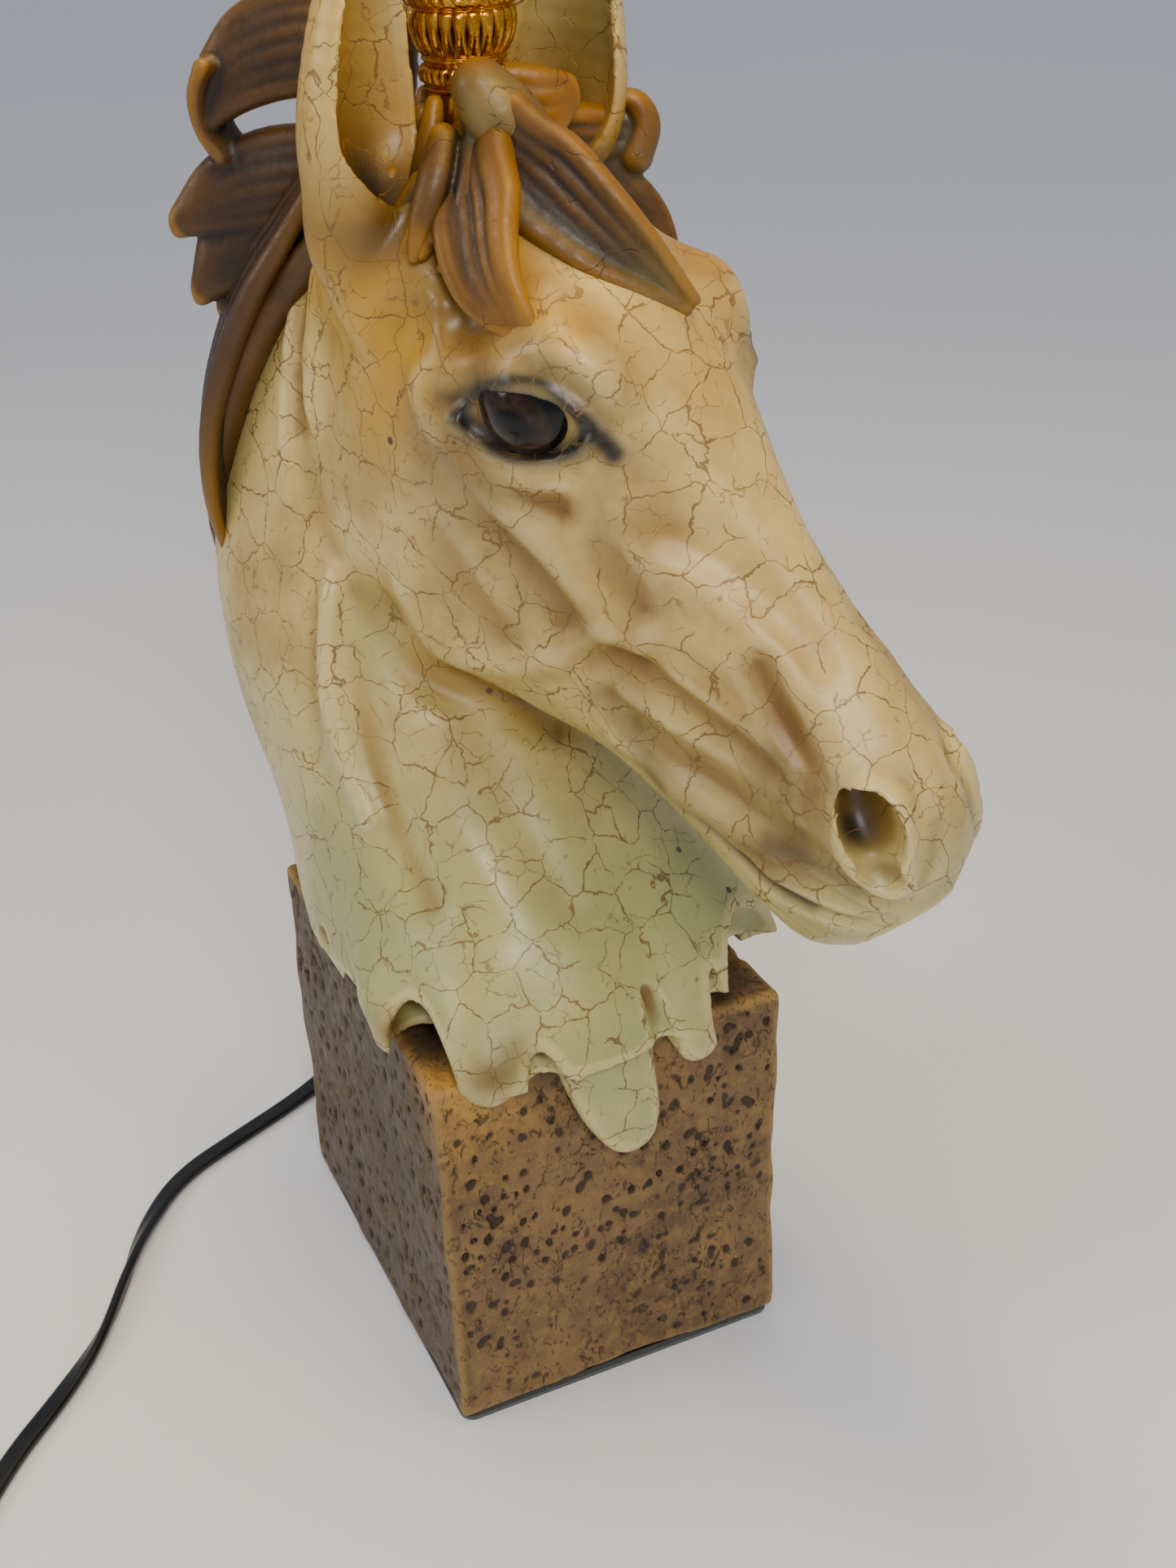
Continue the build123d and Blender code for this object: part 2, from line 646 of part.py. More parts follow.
def inner_flex():
    corners = [Vector(*p) for p in INNER]
    path = FilletPolyline(*corners, radius=[26, 30, 34, 44])
    section = Plane(origin=corners[0], z_dir=(corners[1] - corners[0]).normalized()) * Circle(FLEX_R)
    return sweep(section, path=path, transition=Transition.ROUND)


# ---------------------------------------------------------------- build
def biggest(piece):
    """Drop the crumbs that a cut leaves."""
    return piece.solids().sort_by(SortBy.VOLUME)[-1]


def main():
    bust = horse_bust()
    hair = [forelock_inner, forelock_long, forelock_roll, mane_flying, mane_crest, mane_rear,
            mane_curl]
    clear = Pos(0, 0, 300) * Cylinder(COLUMN_SEAT_R + 0.4, 300)
    done = []
    for make in hair:
        piece = make() - bust - clear
        for other in done:
            piece -= other
        piece = biggest(piece)
        done.append(piece)
        save(make.__name__, piece)
    save("horse_bust", bust)
    save("eye_right", eye(-1))
    save("eye_left", eye(1))
    flex, route_length = power_cord()
    tail, tail_length = cord_tail()
    print("coiled length", round(FLEX_LENGTH - route_length - tail_length))
    singles = [
        plinth_casting, base_cover, base_screws, base_felt, lamp_pipe, pipe_washer, pipe_nut, column,
        check_ring, holder_cap, holder_skirt, shade_ring, holder_insert, screw_shell, centre_contact,
        terminal_screws, switch_body, switch_shaft, switch_knob, bulb_cap, bulb_insulator, bulb_tip,
        bulb_glass, bulb_mount, cord_bush, inner_flex, cord_coil, plug_body, plug_pins,
    ]
    for make in singles:
        save(make.__name__, make())
    save("power_cord", flex)
    save("cord_tail", tail)


main()
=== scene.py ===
"""Looks of the horse-head table lamp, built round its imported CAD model.

Sculpted pieces are modelled in clay: distance fields on grids in millimetres, which become metre
meshes. Their places come from the head's own frame, the neck's sections or the lamp's frame.
"""
from math import cos, pi, radians, sin, sqrt

import bpy
import numpy as np
import openvdb
from mathutils import Matrix, Vector


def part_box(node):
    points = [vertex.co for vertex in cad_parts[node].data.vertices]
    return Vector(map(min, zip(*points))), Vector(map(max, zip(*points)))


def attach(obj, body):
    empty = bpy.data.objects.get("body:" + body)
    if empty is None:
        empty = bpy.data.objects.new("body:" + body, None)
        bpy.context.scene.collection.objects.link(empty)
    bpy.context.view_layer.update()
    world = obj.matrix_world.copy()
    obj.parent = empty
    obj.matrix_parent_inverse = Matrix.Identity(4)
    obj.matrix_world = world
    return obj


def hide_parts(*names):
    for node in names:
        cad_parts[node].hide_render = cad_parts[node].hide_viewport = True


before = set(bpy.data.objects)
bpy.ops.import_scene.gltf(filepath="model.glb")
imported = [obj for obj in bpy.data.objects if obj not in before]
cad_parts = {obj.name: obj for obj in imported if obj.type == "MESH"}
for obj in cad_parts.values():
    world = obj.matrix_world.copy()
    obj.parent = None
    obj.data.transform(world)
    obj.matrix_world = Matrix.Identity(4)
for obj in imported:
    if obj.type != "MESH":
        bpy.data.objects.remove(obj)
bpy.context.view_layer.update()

MM = 0.001
FINE = 1.0          # clay step of the bust and plinth, mm
HAIR_STEP = 0.8     # clay step of the locks, mm


# ---------------------------------------------------------------- camera
CAMERA_AT = (-0.17322, -0.44613, 0.43416)
CAMERA_AZ, CAMERA_EL, CAMERA_ROLL = -23.886, 29.395, -2.172
LENS = 44.84


def make_camera():
    az, el, roll = radians(CAMERA_AZ), radians(CAMERA_EL), radians(CAMERA_ROLL)
    back = Vector((sin(az) * cos(el), -cos(az) * cos(el), sin(el)))
    right = Vector((cos(az), sin(az), 0))
    up = back.cross(right)
    x_axis = cos(roll) * right + sin(roll) * up
    y_axis = cos(roll) * up - sin(roll) * right
    data = bpy.data.cameras.new("camera")
    data.lens = LENS
    data.clip_start = 0.01
    camera = bpy.data.objects.new("camera", data)
    turn = Matrix((x_axis, y_axis, back)).transposed().to_4x4()
    camera.matrix_world = Matrix.Translation(CAMERA_AT) @ turn
    bpy.context.scene.collection.objects.link(camera)
    bpy.context.scene.camera = camera


make_camera()


# ---------------------------------------------------------------- materials
def rgb(red, green, blue):
    """An sRGB colour, 0 to 255, as linear light."""
    out = []
    for value in (red, green, blue):
        v = value / 255
        out.append(v / 12.92 if v <= 0.04045 else ((v + 0.055) / 1.055) ** 2.4)
    return (*out, 1.0)


class Paint:
    """A material's node tree, with short ways to add to it."""

    def __init__(self, name, **sockets):
        self.material = bpy.data.materials.new(name)
        self.material.use_nodes = True
        self.tree = self.material.node_tree
        self.shader = self.tree.nodes["Principled BSDF"]
        for socket, value in sockets.items():
            self.set(self.shader, socket, value)
        self.place = self.tree.nodes.new("ShaderNodeTexCoord").outputs["Object"]

    def set(self, node, key, value):
        socket = node.inputs[key if isinstance(key, int) else key.replace("_", " ")]
        if isinstance(value, bpy.types.NodeSocket):
            self.tree.links.new(value, socket)
        else:
            socket.default_value = value

    def add(self, kind, out=0, props=(), **inputs):
        node = self.tree.nodes.new("ShaderNode" + kind)
        for key, value in dict(props).items():
            setattr(node, key, value)
        for key, value in inputs.items():
            self.set(node, int(key[1:]) if key[0] == "i" and key[1:].isdigit() else key, value)
        return node.outputs[out]

    def math(self, operation, a, b=0.0, clamp=False):
        return self.add("Math", props={"operation": operation, "use_clamp": clamp}, i0=a, i1=b)

    def times(self, a, b, clamp=False):
        return self.math("MULTIPLY", a, b, clamp)

    def span(self, value, low, high, to_low=0.0, to_high=1.0):
        """Value run smoothly from one range to another."""
        props = {"interpolation_type": "SMOOTHSTEP"}
        return self.add("MapRange", props=props, Value=value, From_Min=low, From_Max=high,
                        To_Min=to_low, To_Max=to_high)

    def mix(self, factor, a, b, blend="MIX"):
        node = self.tree.nodes.new("ShaderNodeMix")
        node.data_type = "RGBA"
        node.blend_type = blend
        self.set(node, 0, factor)
        self.set(node, 6, a)
        self.set(node, 7, b)
        return node.outputs[2]

    def coats(self, colour, *layers):
        """Colours laid one over another: each layer is a factor and a colour."""
        for factor, over in layers:
            colour = self.mix(factor, colour, over)
        return colour

    def noise(self, scale, detail=3.0, rough=0.55, vector=None, out=0, distort=0.0):
        return self.add("TexNoise", out=out, Vector=vector or self.place, Scale=scale, Detail=detail,
                        Roughness=rough, Distortion=distort)

    def shaken(self, scale, amount, vector=None):
        """The coordinates, shifted about by noise."""
        vector = vector or self.place
        shift = self.add("VectorMath", props={"operation": "SUBTRACT"},
                         i0=self.noise(scale, 2.0, vector=vector, out=1), i1=(0.5, 0.5, 0.5))
        scaled = self.add("VectorMath", props={"operation": "SCALE"}, i0=shift, Scale=amount)
        return self.add("VectorMath", props={"operation": "ADD"}, i0=vector, i1=scaled)

    def attribute(self, name):
        node = self.tree.nodes.new("ShaderNodeAttribute")
        node.attribute_name = name
        split = self.tree.nodes.new("ShaderNodeSeparateColor")
        self.tree.links.new(node.outputs["Color"], split.inputs[0])
        return split.outputs[:3]

    def bump(self, height, strength=0.3, distance=0.0004, normal=None):
        node = self.tree.nodes.new("ShaderNodeBump")
        node.inputs["Strength"].default_value = strength
        node.inputs["Distance"].default_value = distance
        self.set(node, "Height", height)
        if normal is not None:
            self.set(node, "Normal", normal)
        return node.outputs[0]

    def finish(self, **sockets):
        for socket, value in sockets.items():
            self.set(self.shader, socket, value)
        return self.material


def cracks(paint, cell, width, ragged, cover, seed):
    """Broken crackle lines: cell size and line width in metres."""
    vector = paint.shaken(1.1 / cell, cell * 0.55)
    vector = paint.shaken(7.0 / cell, cell * ragged, vector)
    shifted = paint.add("VectorMath", props={"operation": "ADD"}, i0=vector, i1=(seed, seed, 0.0))
    edge = paint.add("TexVoronoi", out="Distance", props={"feature": "DISTANCE_TO_EDGE"},
                     Vector=shifted, Scale=1 / cell)
    swell = paint.noise(2.2 / cell, 2.0, vector=shifted)
    wide = paint.span(swell, 0.35, 0.65, 0.35 * width / cell, width / cell)
    line = paint.math("SUBTRACT", 1.0, paint.math("DIVIDE", edge, wide), clamp=True)
    keep = paint.span(paint.noise(0.9 / cell, 2.0, vector=shifted), 0.62 - cover * 0.3, 0.70 - cover * 0.3)
    return paint.times(paint.span(line, 0.05, 0.6), keep)


def crackle_paint():
    """Cream paint, airbrushed ochre and brown deepened by painted shade in the hollows, painted highlight on
    the high points, gilt with painted bulb glow at the crown, under a brown crackle.
    """
    paint = Paint("crackle_resin")
    brown, dark, gilt_and_glow = paint.attribute("paint_and_light")
    green, close, wide = paint.attribute("relief")
    cloud = paint.noise(28, 4, 0.6)
    speck = paint.noise(240, 3, 0.7)
    patchy = paint.span(paint.noise(60, 3, 0.6), 0.3, 0.7, 0.7, 1.05)
    colour = paint.coats(
        paint.mix(paint.span(cloud, 0.35, 0.68), rgb(212, 187, 116), rgb(182, 149, 78)),
        (paint.span(speck, 0.52, 0.8, 0.0, 0.25), rgb(152, 118, 56)),
        (paint.times(green, paint.span(cloud, 0.25, 0.6, 0.6, 1.0)), rgb(158, 166, 108)),
        # Lighter on the high points: painted highlight. Ochre and brown in the wide and close hollows:
        # airbrushed colour deepened by painted shade.
        (paint.span(close, 0.482, 0.42, 0.0, 0.55), rgb(222, 202, 140)),
        (paint.span(wide, 0.505, 0.64, 0.0, 0.72), rgb(146, 108, 20)),
        # Gold: gilt paint with the bulb's warm light painted onto it.
        (paint.times(gilt_and_glow, paint.span(cloud, 0.3, 0.7, 0.8, 1.0)), rgb(192, 142, 0)),
        (paint.span(close, 0.53, 0.64, 0.0, 0.6), rgb(92, 56, 14)),
        (paint.times(brown, patchy, clamp=True), rgb(98, 62, 4)),
        (dark, rgb(20, 16, 14)))
    large = cracks(paint, 0.0135, 0.00034, 0.13, 0.85, 0.31)
    small = cracks(paint, 0.0072, 0.00022, 0.14, 0.40, 1.73)
    crack = paint.math("MAXIMUM", large, paint.times(small, 0.7))
    tint = paint.mix(paint.noise(50, 2), rgb(92, 62, 20), rgb(134, 98, 38))
    dots = paint.add("TexVoronoi", Vector=paint.place, Scale=62.0)
    chip = paint.times(paint.span(dots, 0.075, 0.05), paint.span(paint.noise(17, 1), 0.56, 0.6))
    colour = paint.coats(colour, (paint.times(crack, 0.85), tint), (chip, rgb(80, 54, 24)))
    height = paint.math("SUBTRACT", paint.times(speck, 0.25), crack)
    rough = paint.span(cloud, 0.3, 0.7, 0.34, 0.5)
    return paint.finish(Base_Color=colour, Roughness=rough, Normal=paint.bump(height, 0.55, 0.0003),
                        Coat_Weight=0.12, Coat_Roughness=0.3)


def mane_paint():
    """Golden-brown paint, dark in the grooves with painted shade, lighter gold on the ridges as painted
    highlight, and gilt with painted bulb glow near the crown.
    """
    paint = Paint("mane_resin")
    brown, dark, gilt_and_glow = paint.attribute("paint_and_light")
    grey, close, wide = paint.attribute("relief")
    cloud = paint.noise(45, 4, 0.6)
    crack = cracks(paint, 0.013, 0.0003, 0.1, 0.1, 4.1)
    colour = paint.coats(
        paint.mix(paint.span(cloud, 0.3, 0.7), rgb(104, 68, 2), rgb(68, 45, 5)),
        # Gilt with the bulb's warm light painted onto it.
        (gilt_and_glow, rgb(172, 116, 2)),
        (paint.times(brown, 0.9), rgb(56, 33, 10)),
        # Dark in the wide and close hollows: painted shade over the dark paint.
        (paint.span(wide, 0.40, 0.60, 0.0, 0.8), rgb(46, 28, 4)),
        (paint.span(close, 0.43, 0.55, 0.0, 0.92), rgb(20, 9, 2)),
        # Lighter on the ridges: painted highlight.
        (paint.span(close, 0.38, 0.28, 0.0, 0.5), rgb(166, 116, 12)),
        (paint.times(grey, paint.span(cloud, 0.25, 0.6, 0.7, 1.0)), rgb(136, 124, 72)),
        (dark, rgb(26, 16, 8)),
        (paint.times(crack, 0.6), rgb(60, 36, 12)))
    grain = paint.noise(420, 4, 0.65)
    height = paint.math("SUBTRACT", paint.times(grain, 0.4), crack)
    rough = paint.span(grain, 0.3, 0.7, 0.36, 0.56)
    return paint.finish(Base_Color=colour, Roughness=rough, Normal=paint.bump(height, 0.6, 0.0004))


def hewn_paint():
    """Bronze-brown stone, with black-brown pits, rubbed gilt edges, painted shade on its side faces, in its
    hollows and under the bib, painted highlight on its high points, and painted warm glow at its front-left
    corner.
    """
    paint = Paint("hewn_resin")
    shaded, dark, gilt_and_glow = paint.attribute("paint_and_light")
    close = paint.attribute("relief")[1]
    cloud = paint.noise(36, 5, 0.62)
    grain = paint.noise(210, 5, 0.7)
    stretched = paint.add("VectorMath", props={"operation": "MULTIPLY"}, i0=paint.place, i1=(1.0, 1.0, 0.6))
    pit = paint.span(paint.noise(300, 6, 0.72, vector=stretched, distort=1.4), 0.56, 0.66)
    colour = paint.coats(
        paint.mix(paint.span(cloud, 0.3, 0.7), rgb(130, 98, 56), rgb(88, 64, 34)),
        (paint.span(grain, 0.42, 0.66, 0.0, 0.6), rgb(150, 118, 68)),
        # Darker side faces: painted shade.
        (paint.times(shaded, 0.8), rgb(64, 50, 32)),
        # Rubbed gilt, with painted warm glow at the front-left corner.
        (paint.times(gilt_and_glow, paint.span(grain, 0.3, 0.62, 0.4, 1.0)), rgb(196, 146, 60)),
        # Dark in the hollows: painted shade.
        (paint.span(close, 0.51, 0.575, 0.0, 0.9), rgb(44, 24, 10)),
        (paint.times(pit, 0.72), rgb(46, 27, 12)),
        # Lighter on the high points: painted highlight.
        (paint.span(close, 0.44, 0.32, 0.0, 0.4), rgb(176, 140, 78)),
        # Painted shadow under the bib.
        (dark, rgb(30, 18, 9)))
    height = paint.math("SUBTRACT", grain, paint.times(pit, 1.5))
    rough = paint.span(grain, 0.3, 0.7, 0.45, 0.7)
    return paint.finish(Base_Color=colour, Roughness=rough, Normal=paint.bump(height, 0.7, 0.0008),
                        Specular_IOR_Level=0.5)


def gilt_paint():
    """Antique gilt: bright on the high points, umber in the hollows."""
    paint = Paint("gilt", Metallic=1.0)
    depth = paint.attribute("relief")
    wear = paint.noise(260, 4, 0.65)
    colour = paint.mix(paint.span(wear, 0.3, 0.7), rgb(226, 168, 60), rgb(190, 124, 32))
    hollow = paint.math("ADD", depth[0], paint.span(wear, 0.5, 0.75, 0.0, 0.25))
    colour = paint.mix(paint.span(hollow, 0.3, 0.85), colour, rgb(58, 30, 8))
    rough = paint.span(hollow, 0.2, 0.9, 0.26, 0.62)
    return paint.finish(Base_Color=colour, Roughness=rough, Normal=paint.bump(wear, 0.6, 0.0006))


def eye_paint():
    """Black gloss, with a dark brown iris ring."""
    paint = Paint("eye_gloss", Roughness=0.13, Specular_IOR_Level=0.32)
    from_pupil = paint.attribute("relief")[0]
    veins = paint.noise(420, 3)
    iris = paint.mix(paint.span(veins, 0.3, 0.7), rgb(30, 20, 14), rgb(54, 38, 24))
    colour = paint.coats(rgb(5, 5, 6), (paint.span(from_pupil, 0.30, 0.42), iris),
                         (paint.span(from_pupil, 0.60, 0.72), rgb(12, 11, 11)))
    return paint.finish(Base_Color=colour, Normal=paint.bump(veins, 0.04, 0.0001))


def plain_paint(name, dark, light, rough, scale=300.0, bump=0.1, metal=0.0, **sockets):
    """A moulded, turned or plated finish: two tones, uneven gloss and a fine surface."""
    paint = Paint(name, Metallic=metal, **sockets)
    cloud = paint.noise(scale / 8, 4, 0.6)
    grain = paint.noise(scale * 6, 3, 0.6)
    colour = paint.mix(paint.span(cloud, 0.3, 0.7), dark, light)
    uneven = paint.math("ADD", paint.times(cloud, 0.6), paint.times(grain, 0.4))
    roughness = paint.span(uneven, 0.3, 0.7, rough * 0.8, rough * 1.25)
    return paint.finish(Base_Color=colour, Roughness=roughness,
                        Normal=paint.bump(grain, bump, 0.0002))


def felt_paint():
    """Dark green pressed felt."""
    paint = Paint("felt", Sheen_Weight=0.6, Sheen_Roughness=0.5, Roughness=0.95)
    fibre = paint.noise(1400, 5, 0.75, distort=1.5)
    colour = paint.mix(paint.span(fibre, 0.3, 0.7), rgb(18, 26, 20), rgb(34, 44, 36))
    return paint.finish(Base_Color=colour, Normal=paint.bump(fibre, 0.8, 0.0006))


def glow_paint(name, colour, glow, strength):
    """Frosted glass that gives light."""
    paint = Paint(name, Roughness=0.25, Emission_Color=glow, Emission_Strength=strength)
    frost = paint.noise(500, 3)
    return paint.finish(Base_Color=paint.mix(frost, colour, rgb(255, 255, 255)),
                        Normal=paint.bump(frost, 0.05, 0.0001))


# ---------------------------------------------------------------- meshes
def link(obj, body, slot, *replaced):
    """Put a piece in the scene, on its body, hiding the CAD nodes it stands for; its slot is not used."""
    bpy.context.scene.collection.objects.link(obj)
    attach(obj, body)
    if replaced:
        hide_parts(*replaced)
    return obj


def mesh_object(name, points, faces, material):
    """A smooth-shaded object from points in metres and a face array."""
    mesh = bpy.data.meshes.new(name)
    mesh.from_pydata([tuple(p) for p in points], [], [tuple(int(i) for i in f) for f in faces])
    mesh.shade_smooth()
    mesh.materials.append(material)
    return bpy.data.objects.new(name, mesh)


def colour_attribute(obj, name, columns):
    """Three values a point, kept for the material."""
    data = np.ones((len(obj.data.vertices), 4), np.float32)
    for i, column in enumerate(columns):
        data[:, i] = column
    layer = obj.data.attributes.new(name, "FLOAT_COLOR", "POINT")
    layer.data.foreach_set("color", data.ravel())


def ring_faces(rings, count, forward=True):
    """Quads between rings of `count` points each, which run forward or back round their axis."""
    faces = []
    for a in range(0, (rings - 1) * count, count):
        b = a + count
        for i in range(count):
            j = (i + 1) % count
            faces.append((a + i, a + j, b + j, b + i) if forward else (a + i, b + i, b + j, a + j))
    return faces


def turned(name, profile, segments, material, ripple):
    """Revolve (radius, height) points in millimetres; ripple(radius, z, angles) shapes each ring."""
    angles = np.linspace(0, 2 * pi, segments, endpoint=False)
    rings = []
    for r, z in profile:
        radii = ripple(r, z, angles)
        rings.append(np.stack([radii * np.cos(angles), radii * np.sin(angles), np.full(segments, z)], 1))
    points = np.concatenate(rings) * MM
    faces = ring_faces(len(profile), segments)
    faces.append(tuple(range(segments - 1, -1, -1)))
    last = (len(profile) - 1) * segments
    faces.append(tuple(range(last, last + segments)))
    return mesh_object(name, points, faces, material)


# ---------------------------------------------------------------- flex
ROUTE = [
    (26, 88, 14), (26, 103, 13.6), (19, 118, 6.5), (0, 125, 2.0), (-24, 115, 1.8), (-46, 100, 1.8),
    (-72, 88.5, 1.8), (-97, 77, 1.9), (-114, 56, 2.8), (-124, 37, 3.3), (-136, 16, 2.6),
    (-152, -2, 1.8), (-171, -20, 1.8), (-187, -42, 1.8), (-199, -64, 1.8), (-202, -84, 1.8),
]
COIL_AT = (-240.0, -100.0)
COIL_TURNS = 6.5
POINTS_A_TURN = 16
# Coil: turns made, radius, height of the flex
COIL = [
    (0, 38, 1.8), (0.5, 36, 1.8), (1, 31.2, 1.8), (2, 28.4, 1.9), (2.3, 28.6, 5.0), (3, 33, 5.1),
    (4, 39.5, 5.2), (4.4, 39, 8.4), (5, 35, 8.4), (6, 31, 8.5), (6.12, 36, 8.3), (6.28, 43.4, 4.6),
    (6.5, 41, 2.4),
]
TAIL = [(-279, -84, 2.4), (-278, -76, 3.0), (-277.6, -66, 4.4), (-278, -54, 7.2)]
FLEX_WIDE = 6.4
FLEX_THICK = 3.3
FLEX_STEP = 0.0022          # between rings of the mesh, m
TWIST = radians(78)         # how far the flex stands on edge, where, and over what length in m
TWIST_AT = 0.215
TWIST_SPREAD = 0.03


def coil_points():
    made, radius, height = np.array(COIL).T
    points = []
    for i in range(1, int(COIL_TURNS * POINTS_A_TURN)):
        turn = i / POINTS_A_TURN
        r = np.interp(turn, made, radius)
        angle = -2 * pi * turn
        level = np.interp(turn, made, height)
        points.append((COIL_AT[0] + r * cos(angle), COIL_AT[1] + r * sin(angle), level))
    return points


def nurbs_line(points):
    """The centre line of a flex: points read from one open NURBS spline, in metres."""
    curve = bpy.data.curves.new("flex_route", "CURVE")
    curve.dimensions = "3D"
    curve.resolution_u = 10
    spline = curve.splines.new("NURBS")
    spline.points.add(len(points) - 1)
    for point, place in zip(spline.points, points):
        point.co = (*[c * MM for c in place], 1.0)
    spline.order_u = 3
    spline.use_endpoint_u = True
    holder = bpy.data.objects.new("flex_route", curve)
    mesh = bpy.data.meshes.new_from_object(holder)
    line = np.array([v.co for v in mesh.vertices])
    bpy.data.objects.remove(holder)
    return line


def flex_mesh(material):
    """Flat twin flex: two cores side by side, lying flat, once turned on edge."""
    line = nurbs_line(ROUTE + coil_points() + TAIL)
    steps = np.linalg.norm(np.diff(line, axis=0), axis=1)
    travelled = np.concatenate([[0], np.cumsum(steps)])
    even = np.arange(0, travelled[-1], FLEX_STEP)
    line = np.stack([np.interp(even, travelled, line[:, i]) for i in range(3)], 1)
    heading = np.gradient(line, axis=0)
    heading /= np.linalg.norm(heading, axis=1)[:, None]
    side = np.cross([0, 0, 1.0], heading)
    side /= np.linalg.norm(side, axis=1)[:, None]
    rise = np.cross(heading, side)
    on_edge = TWIST * np.exp(-((even - TWIST_AT) / TWIST_SPREAD) ** 2)
    angles = np.linspace(0, 2 * pi, 24, endpoint=False)
    core = FLEX_THICK / 2
    shift = (FLEX_WIDE - FLEX_THICK) / 2
    across = core * np.cos(angles) + shift * np.tanh(3 * np.cos(angles))
    waist = 1 - 0.22 * np.exp(-(across / 0.7) ** 2)
    thick = core * np.sin(angles) * waist
    ring = []
    for a, t in zip(across, thick):
        turned_side = a * np.cos(on_edge) - t * np.sin(on_edge)
        turned_rise = a * np.sin(on_edge) + t * np.cos(on_edge)
        ring.append(line + MM * (side * turned_side[:, None] + rise * turned_rise[:, None]))
    points = np.stack(ring, 1).reshape(-1, 3)
    count, n = len(line), len(angles)
    faces = ring_faces(count, n, forward=False)
    faces.append(tuple(range(n)))
    faces.append(tuple(range(count * n - 1, (count - 1) * n - 1, -1)))
    return mesh_object("flex", points, faces, material), line


flex_pvc = plain_paint("flex_plastic", rgb(14, 14, 15), rgb(24, 24, 25), 0.34, 400, 0.12)
flex, flex_line = flex_mesh(flex_pvc)
link(flex, "stand", "flex_plastic", "power_cord", "cord_coil", "cord_tail")


# ---------------------------------------------------------------- clay
def unit(v):
    v = np.asarray(v, float)
    return v / np.linalg.norm(v)


def smooth_path(points, steps=5):
    """Catmull-Rom points through the given ones; extra columns, such as a radius, go along."""
    p = np.asarray(points, float)
    if len(p) < 3:
        t = np.linspace(0, 1, steps + 1)[:, None]
        return p[0] * (1 - t) + p[-1] * t
    ends = np.vstack([2 * p[0] - p[1], p, 2 * p[-1] - p[-2]])
    t = np.linspace(0, 1, steps, endpoint=False)[:, None]
    out = []
    for a, b, c, d in zip(ends, ends[1:], ends[2:], ends[3:]):
        out.append(0.5 * (2 * b + (c - a) * t + (2 * a - 5 * b + 4 * c - d) * t**2
                          + (3 * b - a - 3 * c + d) * t**3))
    return np.vstack(out + [p[-1:]])


def along(vector, x, y, z):
    """Grid coordinates measured along a vector, kept in the grid's single precision."""
    a, b, c = (np.float32(v) for v in vector)
    return x * a + y * b + z * c


